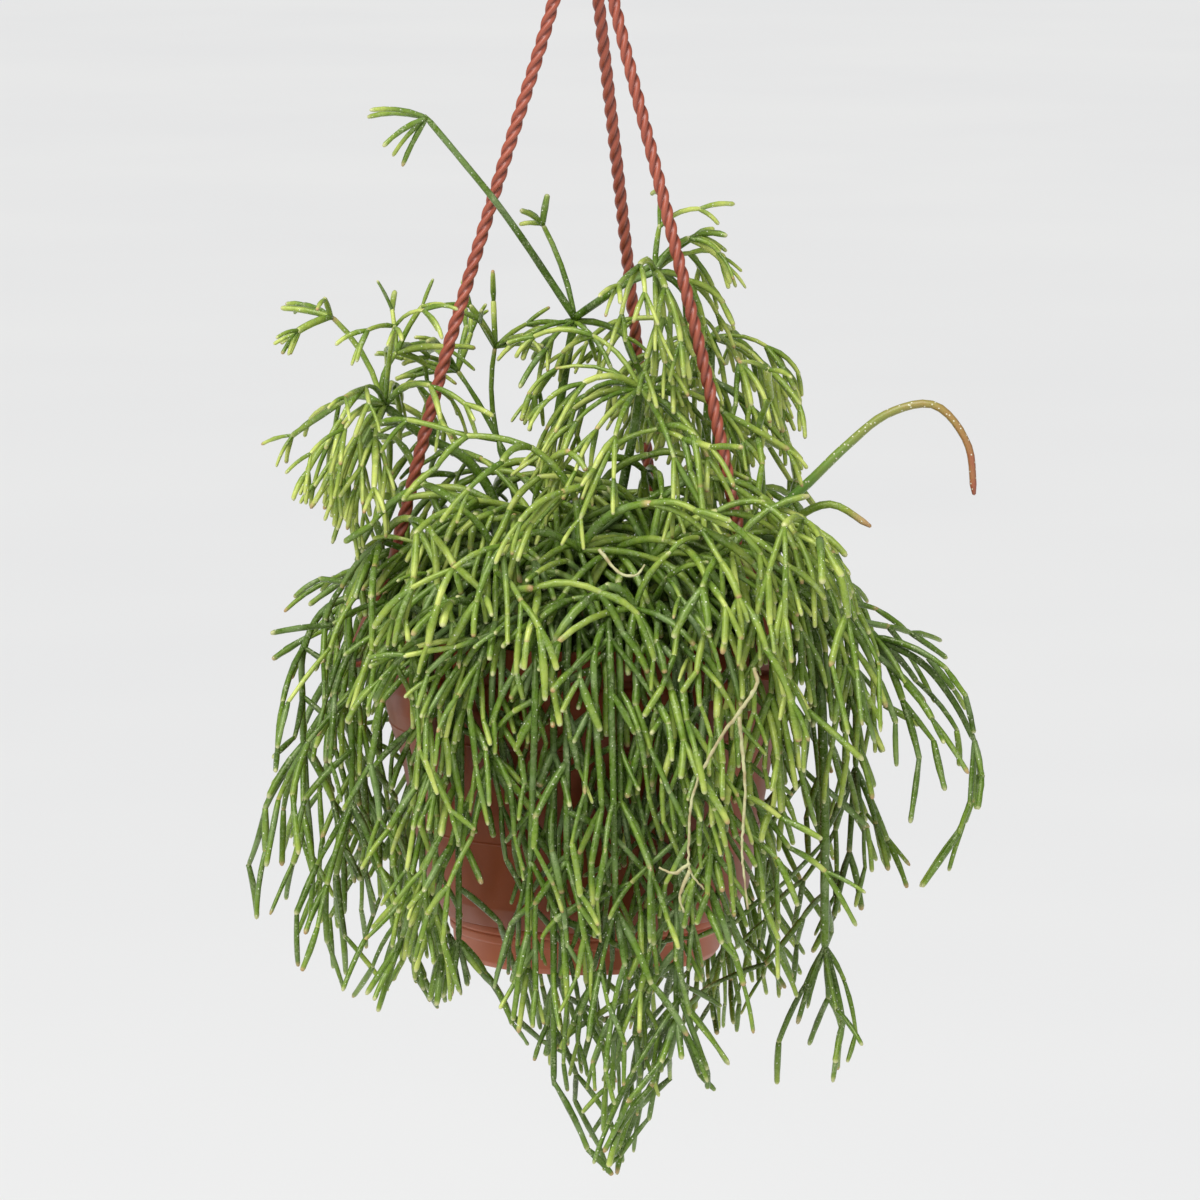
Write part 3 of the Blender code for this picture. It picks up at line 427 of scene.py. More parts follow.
def within_reach(point):
    """True if a point lies within the plant's spread."""
    heights, left, right = np.array(WIDTH_BY_HEIGHT, float).T
    places, depths = np.array(LOWEST_BY_SIDE, float).T
    x, y, z = point
    across = np.interp(z, heights, left) < x < np.interp(z, heights, right)
    lowest = np.interp(x, places, depths) + FRONT_RISE * max(-y, 0)
    return bool(across and abs(y) < DEPTH_REACH and z > lowest)


def canes_of(spray):
    """The canes of a spray that follows the arching rule: the radius and height of each point."""
    root, reach, height = spray.root, spray.reach, spray.height
    middle = (root + reach) / 2
    if spray.drop is None:
        rises = [height * share for share in MOUND_RISES]
        points = ((root, SOIL_TOP), (root + MOUND_SET, rises[0]), (middle, rises[1]), (reach, height))
    else:
        rise = ((root, SOIL_TOP), (root + FALL_SET, FALL_HEIGHTS[0]), (middle + FALL_SET, height))
        points = (*rise, (reach - FALL_SET, FALL_HEIGHTS[1]), (reach, -spray.drop))
    return (Cane([polar(spray.azimuth, *point) for point in points], spray.habit),)


def lay_cane(thicket, rng, cane, owner, rooted):
    """Finds a course for a cane that stays clear of everything else, by nudging its middle points."""
    base = np.asarray(cane.points, float)
    for attempt in range(CANE_TRIES):
        nudge = rng.normal(0, CANE_NUDGE * attempt, base.shape)
        nudge[0] = 0
        nudge[-1] *= 0.5
        path = smooth_path(base + nudge, SPAN)
        if rooted:
            path = np.vstack((path[0] - (0, 0, ROOT_DEPTH), path[0] + (0, 0, STUB), path[1:]))
        # What stands in the soil isn't tested against it
        if clears_pot(path[1 + rooted :], STEM):
            if thicket.room(path[int(rooted) :], thicket.owners != owner) - STEM > NODE_GAP:
                return path
    return None


def draw_joint(rng, draw, fits, root, spread, turn, length, sag, spans):
    """Draws a joint that leans away from its root's heading and droops, a span at a time, until one
    fits: its points and its last heading, or None."""
    tip, heading = root
    across = unit(np.cross(heading, ASIDE))
    beside = np.cross(heading, across)
    for attempt in range(draw.tries):
        angle = turn + rng.normal(0, draw.turn + draw.growth * attempt)
        lean = math.radians(spread) * rng.uniform(*draw.spreads)
        aside = math.cos(angle) * across + math.sin(angle) * beside
        way = math.cos(lean) * heading + math.sin(lean) * aside
        reach = length * rng.uniform(*draw.lengths) * (1 - draw.loss * attempt)
        points = [tip - heading * SINK]
        for _ in range(spans):
            drift = rng.normal(0, draw.wander, 3) if draw.wander else 0
            way = unit(way + np.array((0, 0, -sag / 2)) + drift)
            points.append(points[-1] + way * reach / spans)
        points = np.array(points)
        if fits(points):
            return points, way
    return None


def whorl(rng, count):
    """How far round their stem the joints of a whorl stand: evenly, from a random first one."""
    first = rng.uniform(0, TURN)
    return [first + TURN * number / count for number in range(count)]


def side_tips(name, owner, path, first, habit):
    """The places on the side of a cane that bear joints: its bends, from the first that does."""
    bends = range(first, len(path) - 1)
    return [(name, owner, path[k], unit(path[k + 1] - path[k]), -1, habit) for k in bends]


def lay_canes():
    """Lays every cane of the solids: the thicket, the draws' source, {name: [paths]} and their tips."""
    rng = np.random.default_rng(SEED)
    thicket = Thicket()
    for azimuth in ARM_AZIMUTHS.values():
        line = arm_line(azimuth)
        thicket.add(line, ARM_ROOM, -1)
        thicket.add(np.vstack((line[-1], polar(azimuth, CLIP_TIP, CLIP_HEIGHT))), CLIP_ROOM, -1)
    sprays = dict(PLACED_SPRAYS)
    sprays.update({spray.name: canes_of(spray) for spray in ARCHING_SPRAYS})
    paths = {name: [] for name in sprays}
    tips, side = [], []
    for owner, (name, canes) in enumerate(sprays.items()):
        for number, cane in enumerate(canes):
            path = lay_cane(thicket, rng, cane, owner, number == 0)
            if path is None:
                continue
            paths[name].append(path)
            thicket.add(path, STEM, owner)
            if number == 0:
                thicket.add(path[:2], HOLE_RADIUS + HOLE_RIM, owner)
            own_way = unit(path[-1] - path[-2])
            heading = unit(own_way + np.array(cane.habit.lean))
            # A whorl that leans starts inside its cane all the same
            tip = path[-1] + SINK * (heading - own_way)
            tips.append((name, owner, tip, heading, 0, cane.habit))
            if cane.habit.side:
                side += side_tips(name, owner, path, SIDE_START, cane.habit)
    return thicket, rng, paths, tips + side


def fits_coarsely(thicket, owner, points):
    """True if a joint of the solids stays within the spread, off the pot and clear of the others."""
    placed = within_reach(points[-1]) and clears_pot(points, STEM)
    return placed and thicket.fits(points, owner, STEM, NODE_GAP, OWN_GAP)


def grow_plant():
    """Grows the sprays of the solids, level by level: the thicket, {name: [paths]} and every tip."""
    thicket, rng, paths, tips = lay_canes()
    ends = []
    while tips:
        name, owner, tip, heading, level, habit = tips.pop(0)
        ends.append((name, owner, tip, heading, level, habit))
        spans = 1
        if level == 0:
            count, spread, length, spans = habit.count, habit.spread, habit.length, 2
        elif level == -1:
            count = int(habit.side + rng.random())
            spread, length = SIDE_SPREAD, habit.length * FORK_SHRINK
            level = len(habit.forks)
        elif level <= len(habit.forks):
            count = int(habit.forks[level - 1] + rng.random())
            spread, length = FORK_SPREAD, habit.length * FORK_SHRINK**level
        else:
            continue
        fits = partial(fits_coarsely, thicket, owner)
        for turn in whorl(rng, count):
            root = (tip, heading)
            drawn = draw_joint(rng, COARSE, fits, root, spread, turn, length, habit.sag, spans)
            if drawn is None:
                continue
            points, way = drawn
            thicket.add(points, STEM, owner)
            paths[name].append(points)
            tips.append((name, owner, points[-1], way, level + 1, habit))
    return thicket, paths, ends


# The fine plant
STEM_FINE = 1.27  # half a joint's usual thickness
CANE_FINE = 1.6  # the same for the canes that carry them
CANE_THICK = 2.3  # and for the oldest, which carry the tall sprays
THICKNESS_DRAW = 0.12  # how far a joint's thickness usually differs, over the usual one
FINE_GAP = 0.15  # between joints of different sprays
FINE_OWN_GAP = 2.5  # between the middles of two joints of one spray, away from where they branch
FINE_LIMIT = 8600  # the most joints that the fill adds
NEAR = 45.0  # joints further away than this are not tested
RAGGED = 12.0  # how far, at the most, the fine spray falls short of its reach in depth, halved
RAGGED_WAVES = (11, 19, 27, 41)  # the lengths of the waves by which it does
SPARSE = (  # arching sprays with no further canes beside them
    "fall_left_back", "fall_left", "fall_left_front", "fall_front_left", "fall_right", "fall_right_back",
)
OUTER_REACH = 84.0  # the falls are thinner further out than this on the left and the right
OUTER_TOP = 23.0  # below this height
OUTER_LEVELS = 1  # they end this many levels early there
OUTER_SHADE = 0.09  # how much darker they are there
OUTER_STOUT = 1.08  # and how stout at the most
OUTER_LOSS = 0.25  # the share of their joints that is missing there
# Gaps where the pot shows and where one sees past the plant: x, z and their half sizes
PEEPHOLES = ((-77, -28, 6, 11), (-44, -92, 12, 15))
SKY_GAPS = ((-116, 31, 22, 14), (122, -133, 14, 22), (94, -40, 6, 13), (14, 190, 16, 20))
THINNING = 0.04  # how much thinner each level of joints is
FINGER_THINNING = 0.12  # and how much more so the outermost ones
DROOPS = (0.8, 1.3)  # how strongly a joint droops, over its habit's usual droop
LOOSE_DROOPS = (0.15, 1.35)  # the same in the falls and for the outer levels of joints
WHORL_SHARE = 1.1  # joints that the fill adds to a whorl, over those of the solids
SIDE_COUNT = 1.1  # joints that it adds to a bend on the side of a cane
SIDE_LENGTH = 0.85  # and their length, over that of the habit
# How a further cane may differ from the one it stands beside: how far round it stands, how far further
# in its root and out its bend is, and the shares of its height and its drop
EXTRA_TURN = 9.0
EXTRA_ROOTS = (2, 16)
EXTRA_REACHES = (-3, 9)
EXTRA_HEIGHTS = (0.6, 1.05)
EXTRA_DROPS = (0.3, 1.0)
# Age from 0 to 1: the usual one and its loss with each level, how unevenly it is drawn, and its least
AGE = 0.63
AGE_LOSS = 0.05
AGE_DRAW = 0.1
AGE_LEAST = 0.35
# Painted shade, added to the age so that it darkens the stems: the hanging stems, and those deep inside
# the plant below its crown, where less light reaches. Deep inside it is partly real too, as the stems
# there are older
FALL_SHADE = 0.1  # how much darker the hanging stems are
INNER_SHADE = 0.26  # and how much more so the stems deep inside the plant
OUTER_RADIUS = 118.0  # which is measured inwards from this far off the pot's axis
INNER_DEPTH = 38.0
CROWN_HEIGHT = 38.0  # and downwards from here
CROWN_DEPTH = 32.0
FRESH = (0.25, 0.5)  # how much younger the tip of a young joint is
GROWN = (0.0, 0.12)  # and of another one
FRESH_SHARES = (0.6, 1.4)  # young joints, over the habit's share: in a whorl, and further out
BROWN_POWER = 4.5  # the power that leaves few tips brown

# How a straight joint of the solids is bent: at random, and upwards
BEND_DRAW = 0.5
BEND_RISE = 0.6

Joint = namedtuple("Joint", "name points thickness age fresh tip")


def is_outside(point):
    """True if a point lies in the falls far out on the left or the right."""
    return bool(abs(point[0]) > OUTER_REACH and point[2] < OUTER_TOP)


def in_spread(point):
    """True if a point lies within the plant's spread, whose front and back are a little ragged: the
    depth falls short of its full reach by a wave in x and z. It also avoids the gaps."""
    x, y, z = point
    for across, height, half_width, half_height in PEEPHOLES + SKY_GAPS if y < 0 else SKY_GAPS:
        if math.hypot((x - across) / half_width, (z - height) / half_height) < 1:
            return False
    a, b, c, d = RAGGED_WAVES
    short = RAGGED * (1 + math.sin(x / a + z / b) * math.cos(z / c - x / d))
    return within_reach(point) and abs(y) < DEPTH_REACH - short


def fits_finely(thicket, owner, points):
    """True if a fine joint stays within the spread, off the pot and clear of the others."""
    middles = (points[1:] + points[:-1]) / 2
    placed = all(map(in_spread, (*points[1:], *middles))) and clears_pot(points, STEM_FINE)
    return placed and thicket.fits(points, owner, STEM_FINE, FINE_GAP, FINE_OWN_GAP, NEAR)


def extra_canes(thicket, rng, numbers):
    """Further canes beside the arching ones: {name: [paths]} and their tips."""
    paths, tips = {}, []
    beside = [spray for spray in ARCHING_SPRAYS if spray.name not in SPARSE]
    for spray in FURTHER_CANES + beside + MOUND_SPRAYS:
        other = spray._replace(
            azimuth=spray.azimuth + rng.uniform(-1, 1) * EXTRA_TURN,
            root=spray.root - rng.uniform(*EXTRA_ROOTS),
            reach=spray.reach + rng.uniform(*EXTRA_REACHES),
            height=spray.height * rng.uniform(*EXTRA_HEIGHTS),
            drop=None if spray.drop is None else spray.drop * rng.uniform(*EXTRA_DROPS),
        )
        name, owner, habit = spray.name, numbers[spray.name], spray.habit
        path = lay_cane(thicket, rng, canes_of(other)[0], owner, True)
        if path is None:
            continue
        thicket.add(path, CANE_FINE, owner)
        paths.setdefault(name, []).append(path)
        tips.append((name, owner, path[-1], unit(path[-1] - path[-2]), 0, habit))
        tips += side_tips(name, owner, path, SIDE_START - 1, habit)
    return paths, tips


def thicken(thicket, ends, numbers):
    """Grows the fine joints on every tip, a level at a time: their joints, and the further canes."""
    rng = np.random.default_rng(SEED + 1)
    thicket.radii[thicket.radii == STEM] = STEM_FINE
    canes, cane_tips = extra_canes(thicket, rng, numbers)
    joints = []
    tips = cane_tips + ends
    while tips and len(joints) < FINE_LIMIT:
        name, owner, tip, heading, level, habit = tips.pop(0)
        outside = is_outside(tip)
        if level >= habit.depth - OUTER_LEVELS * outside:
            continue
        last = level + 1 >= habit.depth
        if level == 0:
            count, spread, length = WHORL_SHARE * habit.count, habit.spread, habit.length
        elif level == -1:
            count, spread, length = SIDE_COUNT, SIDE_SPREAD, habit.length * SIDE_LENGTH
        else:
            count, spread, length = habit.bearing, FORK_SPREAD, habit.finger if last else habit.middle
        fits = partial(fits_finely, thicket, owner)
        for turn in whorl(rng, int(count + rng.random())):
            sag = habit.sag * rng.uniform(*(LOOSE_DROOPS if habit.side or level > 1 else DROOPS))
            drawn = draw_joint(rng, FINE, fits, (tip, heading), spread, turn, length, sag, 2)
            if drawn is None:
                continue
            points, way = drawn
            if outside and rng.random() < OUTER_LOSS:
                continue
            thicket.add(points, STEM_FINE, owner)
            joints.append(finished_joint(rng, name, points, level + 1, last, habit))
            tips.append((name, owner, points[-1], way, max(level, 0) + 1, habit))
    return joints, canes


def finished_joint(rng, name, points, level, last, habit):
    """A joint with its thickness, its age from 0 to 1 with painted shade added inside the plant and in
    the falls, how much younger and how brown its tip is.
    """
    outside = is_outside(points[1])
    stout = min(habit.stout, OUTER_STOUT) if outside else habit.stout
    thickness = STEM_FINE * stout * rng.normal(1, THICKNESS_DRAW) * (1 - THINNING * (level - 1))
    if last:
        thickness *= 1 - FINGER_THINNING
    x, y, z = points[1]
    # Painted shade, added to the age: darker deep inside the plant and below its crown, and in the falls
    inwards = np.clip((OUTER_RADIUS - math.hypot(x, y)) / INNER_DEPTH, 0, 1)
    shaded = INNER_SHADE * inwards * np.clip((CROWN_HEIGHT - z) / CROWN_DEPTH, 0, 1)
    shaded += FALL_SHADE * (habit.side > 0) + OUTER_SHADE * outside
    age = np.clip(rng.normal(AGE - AGE_LOSS * level, AGE_DRAW) + shaded, AGE_LEAST, 1)
    is_fresh = rng.random() < habit.fresh * FRESH_SHARES[last or level > 1]
    fresh = rng.uniform(*(FRESH if is_fresh else GROWN))
    return Joint(name, points, thickness, age, fresh, rng.random() ** BROWN_POWER)


def skeleton_joints(paths):
    """The joints and the canes of the solids' own sprays."""
    rng = np.random.default_rng(SEED + 2)
    joints, canes = [], {}
    habits = {name: sprays[0].habit for name, sprays in PLACED_SPRAYS.items()}
    habits.update({spray.name: spray.habit for spray in ARCHING_SPRAYS})
    for name, lines in paths.items():
        for number, line in enumerate(lines):
            # A joint has two points or three, and a cane mostly more
            if len(line) > 3 or number == 0:
                canes.setdefault(name, []).append(line)
                continue
            if len(line) == 2:
                middle = line.mean(axis=0) + rng.normal(0, BEND_DRAW, 3) + (0, 0, BEND_RISE)
                line = np.array((line[0], middle, line[1]))
            joints.append(finished_joint(rng, name, line, 1, False, habits[name]))
    return joints, canes


# Meshes
JOINT_RINGS = (0.0, 0.1, 0.32, 0.54, 0.76, 0.93, 0.982)  # where a joint's rings lie along it
JOINT_SIDES = 6
JOINT_BUMPS = 0.055  # how unevenly thick a joint is, over its thickness
CANE_SIDES = 8
CANE_RINGS = 4.0  # the steps between a cane's rings
CANE_BUMPS = 0.02
CANE_END = 0.55  # what is left of a cane's thickness at its last ring
CANE_POINT = 0.5  # how far the point that closes it stands out from there
CANE_GREEN = 0.85  # a cane that bears joints has no young end of its own
MAP_DRAW = 900  # how far apart the stems' maps may lie


def tube_net(rings, sides):
    """A tube's faces, where its points run ring by ring and one for each end follows: first its quads
    and then the fans that close its ends, each as the points, rings and columns of the corners."""
    k = np.arange(sides)
    ring, column = np.meshgrid(np.arange(rings - 1), k, indexing="ij")
    quad_rings = np.stack((ring, ring, ring + 1, ring + 1), -1).reshape(-1, 4)
    quad_columns = np.stack((column, column + 1, column + 1, column), -1).reshape(-1, 4)
    fan_rings = np.tile(np.repeat((0, rings - 1), sides)[:, None], 3)
    fan_columns = np.concatenate((np.stack((k + 1, k, k), -1), np.stack((k, k + 1, k), -1)))
    fans = fan_rings * sides + fan_columns % sides
    fans[:, 2] = np.repeat((rings * sides, rings * sides + 1), sides)
    quads = quad_rings * sides + quad_columns % sides
    return (quads, quad_rings, quad_columns), (fans, fan_rings, fan_columns)


class Bundle:
    """Closed tubes gathered into one mesh, with the values that their finish reads at each point."""

    def __init__(self, values=()):
        self.points, self.faces, self.places = [], ([], []), ([], [])
        self.values = {name: [] for name in values}
        self.count = 0

    def add(self, grid, ends, stem_map, **values):
        """Adds tubes from a grid (tubes, rings, sides, 3), their two end points (tubes, 2, 3) and a map
        in millimetres: its width, how far along each ring lies, and where it starts. Ring after ring
        is joined by quads, and each end closed by a fan."""
        tubes, rings, sides = grid.shape[:3]
        width, along, offset = stem_map
        points = np.concatenate((grid.reshape(tubes, -1, 3), ends), axis=1)
        base = self.count + points.shape[1] * np.arange(tubes)[:, None, None]
        self.points.append(points.reshape(-1, 3))
        self.count += len(self.points[-1])
        for kind, (corners, ring, column) in enumerate(tube_net(rings, sides)):
            across, up = np.broadcast_arrays(column / sides * width, along[:, ring])
            place = np.stack((across, up), -1) + offset[:, None, None]
            self.faces[kind].append((base + corners).reshape(-1, corners.shape[1]))
            self.places[kind].append(place.reshape(-1, 2))
        for name, value in values.items():
            ringwise = np.broadcast_to(value, (tubes, rings))
            around = np.repeat(ringwise, sides, axis=1)
            whole = np.concatenate((around, ringwise[:, :1], ringwise[:, -1:]), axis=1)
            self.values[name].append(whole.ravel())

    def piece(self, name, finish):
        """The piece itself, smooth, with its map and its values."""
        quads, fans = (np.concatenate(faces) for faces in self.faces)
        made = mesh_piece(name, np.concatenate(self.points), quads, fans, finish)
        places = np.concatenate((*self.places[0], *self.places[1]))
        layer = made.data.uv_layers.new(name="stem_map")
        layer.data.foreach_set("uv", places.ravel().astype(np.float32))
        for label, parts in self.values.items():
            keep_value(made, label, np.concatenate(parts))
        return made


def put(name, data):
    """Puts an object with its data into the scene."""
    made = bpy.data.objects.new(name, data)
    bpy.context.scene.collection.objects.link(made)
    return made


def keep_value(piece, name, values):
    """Keeps a value for each point of a piece, for its finish."""
    kept = piece.data.attributes.new(name, "FLOAT", "POINT")
    kept.data.foreach_set("value", values.astype(np.float32))


def mesh_piece(name, points, quads, triangles, finish):
    """A smooth piece from points in millimetres, counted from the rim's top, and its faces."""
    mesh = bpy.data.meshes.new(name)
    mesh.vertices.add(len(points))
    place = (points - (0, 0, HANG_DROP)) * MM
    mesh.vertices.foreach_set("co", place.ravel().astype(np.float32))
    corners = np.concatenate((quads.ravel(), triangles.ravel())).astype(np.int32)
    mesh.loops.add(len(corners))
    mesh.loops.foreach_set("vertex_index", corners)
    starts = np.concatenate((4 * np.arange(len(quads)), 4 * len(quads) + 3 * np.arange(len(triangles))))
    mesh.polygons.add(len(starts))
    mesh.polygons.foreach_set("loop_start", starts.astype(np.int32))
    mesh.update(calc_edges=True)
    mesh.shade_smooth()
    mesh.materials.append(finish)
    return put(name, mesh)


def tube_piece(name, grid, finish, ends=None):
    """A piece that is one closed tube, from its rings of points and its two end points, which
    otherwise lie in the middle of its first and last ring."""
    (quads, *_), (fans, *_) = tube_net(*grid.shape[:2])
    if ends is None:
        ends = grid[[0, -1]].mean(axis=1)
    return mesh_piece(name, np.vstack((grid.reshape(-1, 3), ends)), quads, fans, finish)


def ring_angles(sides):
    """Angles all round, evenly."""
    return TURN * np.arange(sides) / sides


def ways_along(lines):
    """The way that each point of a line runs, at length one."""
    ways = np.gradient(lines, axis=-2)
    return ways / np.linalg.norm(ways, axis=-1)[..., None]


def tube_grid(lines, radii, sides):
    """Rings of points round many centre lines at once. On each line, across is square to the way the
    line runs and to the normal of the plane it lies closest to, up is square to both, and the point
    at angle a is the centre + radius (cos a across + sin a up)."""
    ways = ways_along(lines)
    _, _, axes = np.linalg.svd(lines - lines.mean(axis=1)[:, None])
    across = np.cross(ways, axes[:, None, 2])
    across /= np.linalg.norm(across, axis=2)[..., None]
    up = np.cross(ways, across)
    angles = ring_angles(sides)
    around = across[:, :, None] * np.cos(angles)[:, None] + up[:, :, None] * np.sin(angles)[:, None]
    return lines[:, :, None] + radii[..., None, None] * around


def smooth_rise(value, low, high):
    """0 below low, 1 above high, and an S-curve between them."""
    t = np.clip((value - low) / (high - low), 0, 1)
    return t * t * (3 - 2 * t)


def stem_map(rng, radius, t, lengths):
    """The map of stems: round it once is its width, and it starts at a random place for each."""
    return TURN * radius, t[None] * lengths[:, None], rng.uniform(0, MAP_DRAW, (len(lengths), 2))


def add_joints(bundle, joints, rng):
    """Adds joints. The centre line is the parabola through a joint's three points, and the radius is
    slim at the root, full along the middle, a little slimmer near the tip and rounded off there."""
    t = np.array(JOINT_RINGS)
    controls = np.array([joint.points for joint in joints])
    weights = np.stack((2 * (t - 0.5) * (t - 1), -4 * t * (t - 1), 2 * t * (t - 0.5)), axis=1)
    lines = np.einsum("rk,nkc->nrc", weights, controls)
    shape = 0.8 + 0.2 * smooth_rise(t, 0, 0.25) - 0.16 * smooth_rise(t, 0.4, 0.97)
    shape = shape * np.sqrt(np.clip(1 - smooth_rise(t, 0.9, 1.02) ** 2, 0, 1))
    thickness, age, fresh, tip = (
        np.array([getattr(joint, name) for joint in joints])[:, None]
        for name in ("thickness", "age", "fresh", "tip")
    )
    radii = thickness * shape * (1 + rng.normal(0, JOINT_BUMPS, (len(joints), len(t))))
    lengths = spans_of(lines).sum(axis=1)
    ends = np.stack((controls[:, 0], controls[:, 2]), axis=1)
    place = stem_map(rng, STEM_FINE, t, lengths)
    age = age - fresh * smooth_rise(t, -0.1, 0.9)
    bundle.add(tube_grid(lines, radii, JOINT_SIDES), ends, place, age=age, tip=tip, along=t[None])


def add_cane(bundle, path, thickness, tip_share, age, tip, rng):
    """Adds a cane: a smooth tube that thins towards its tip and is rounded off there."""
    line = smooth_path(path, CANE_RINGS)
    t = np.linspace(0, 1, len(line))
    radii = thickness * (1 - (1 - tip_share) * t**1.5) * (1 + rng.normal(0, CANE_BUMPS, len(t)))
    radii[-1] *= CANE_END
    ends = np.array(((line[0], line[-1] + unit(line[-1] - line[-2]) * CANE_POINT),))
    place = stem_map(rng, CANE_FINE, t, spans_of(line[None]).sum(axis=1))
    grid = tube_grid(line[None], radii[None], CANE_SIDES)
    bundle.add(grid, ends, place, age=age, tip=tip, along=(1.0 if tip else CANE_GREEN) * t[None])


def turned_piece(name, profile, sides, finish):
    """A profile of radii and heights turned about the axis: the point at angle a and step s is
    (r(s) cos a, r(s) sin a, h(s)). It starts and ends on the axis, in a point each."""
    profile = np.asarray(profile, float)
    angles = ring_angles(sides)
    radii, heights = profile[1:-1, :1], profile[1:-1, 1:]
    grid = np.stack(np.broadcast_arrays(radii * np.cos(angles), radii * np.sin(angles), heights), -1)
    ends = ((0, 0, profile[0, 1]), (0, 0, profile[-1, 1]))
    return tube_piece(name, grid, finish, ends)


def rounded(profile, radius, steps=4):
    """A profile with each inner corner replaced by a parabola that starts and ends a radius from it."""
    profile = np.asarray(profile, float)
    corner = profile[1:-1]
    start, end = (
        corner + way * np.minimum(radius / np.linalg.norm(way, axis=1)[:, None], ROUND_SHARE)
        for way in (profile[:-2] - corner, profile[2:] - corner)
    )
    t = np.linspace(0, 1, steps)[None, :, None]
    curve = start[:, None] * (1 - t) ** 2 + corner[:, None] * 2 * t * (1 - t) + end[:, None] * t**2
    return np.vstack((profile[:1], curve.reshape(-1, 2), profile[-1:]))


# Finishes
class Finish:
    """A finish: its shader, the nodes that are put before it, and the object's own coordinates."""

    def __init__(self, name, roughness):
        self.made = bpy.data.materials.new(name)
        self.made.use_nodes = True
        self.shader = self.made.node_tree.nodes["Principled BSDF"]
        self.give("Roughness", roughness)
        self.place = self.node("ShaderNodeTexCoord").outputs["Object"]

    def join(self, value, socket):
        """Puts a value, a colour or a link into a socket."""
        if isinstance(value, bpy.types.NodeSocket):
            self.made.node_tree.links.new(value, socket)
        else:
            socket.default_value = (*value, 1) if isinstance(value, tuple) else value

    def give(self, name, value):
        """Gives the shader a value, a colour or a link."""
        self.join(value, self.shader.inputs[name])

    def node(self, kind, inputs=None, **settings):
        """A node of a kind, with its settings, and a value or a link for each of its inputs."""
        made = self.made.node_tree.nodes.new(kind)
        for name, value in settings.items():
            setattr(made, name, value)
        for key, value in (inputs or {}).items():
            self.join(value, made.inputs[key])
        return made

    def noise(self, size, detail=3.0, grain=0.55):
        """Noise from 0 to 1 whose features are about the given size in millimetres."""
        inputs = {"Vector": self.place, "Scale": 1 / (size * MM), "Detail": detail, "Roughness": grain}
        return self.node("ShaderNodeTexNoise", inputs).outputs["Fac"]

    def between(self, value, low, high, start=0.0, end=1.0):
        """A value mapped from low and high to start and end, and held there."""
        limits = {"From Min": low, "From Max": high, "To Min": start, "To Max": end}
        return self.node("ShaderNodeMapRange", {"Value": value, **limits}).outputs["Result"]

    def patches(self, size, low, high, start=0.0, end=1.0, detail=3.0, grain=0.55):
        """Patches of about a size: noise mapped from low and high to start and end."""
        return self.between(self.noise(size, detail, grain), low, high, start, end)

    def sum(self, first, second, operation="ADD"):
        """Two values added, or put together by another sum."""
        return self.node("ShaderNodeMath", {0: first, 1: second}, operation=operation).outputs[0]

    def times(self, first, second):
        """Two values multiplied."""
        return self.sum(first, second, "MULTIPLY")

    def mixed(self, share, first, second):
        """Two colours mixed by a share."""
        inputs = {0: share, 6: first, 7: second}
        return self.node("ShaderNodeMix", inputs, data_type="RGBA").outputs[2]

    def ramp(self, value, stops):
        """Colours by a value: pairs of a place from 0 to 1 and a colour."""
        made = self.node("ShaderNodeValToRGB", {"Fac": value})
        band = made.color_ramp
        while len(band.elements) < len(stops):
            band.elements.new(0.5)
        for element, (place, colour) in zip(band.elements, stops):
            element.position = place
            element.color = (*colour, 1)
        return made.outputs["Color"]

    def kept(self, name):
        """A value kept on the mesh."""
        return self.node("ShaderNodeAttribute", attribute_name=name).outputs["Fac"]

    def cells(self, scale):
        """Cells on the stems' own map."""
        place = self.node("ShaderNodeUVMap", uv_map="stem_map").outputs["UV"]
        inputs = {"Vector": place, "Scale": scale}
        return self.node("ShaderNodeTexVoronoi", inputs, voronoi_dimensions="2D").outputs

    def bump(self, height, depth, strength):
        """Relief on the shader from a height between 0 and 1 and its depth in millimetres."""
        inputs = {"Height": height, "Distance": depth * MM, "Strength": strength}
        self.give("Normal", self.node("ShaderNodeBump", inputs).outputs["Normal"])


# Stem colours by age with painted shade added to it: the dark end serves for old stems and for painted
# shade alike
STEM_TONES_BY_AGE_AND_SHADE = (
    (0.0, (0.5, 0.57, 0.13)),
    (0.22, (0.27, 0.36, 0.05)),
    (0.5, (0.118, 0.208, 0.014)),
    (0.75, (0.06, 0.128, 0.005)),
    (1.0, (0.027, 0.062, 0.003)),
)
SHOOT_COLOURS = (
    (0.0, (0.07, 0.18, 0.03)),
    (0.45, (0.13, 0.26, 0.035)),
    (0.68, (0.24, 0.27, 0.05)),
    (0.84, (0.33, 0.2, 0.06)),
    (1.0, (0.3, 0.085, 0.04)),
)
SOIL_COLOURS = ((0.3, (0.012, 0.008, 0.005)), (0.5, (0.04, 0.024, 0.014)), (0.7, (0.1, 0.06, 0.033)))


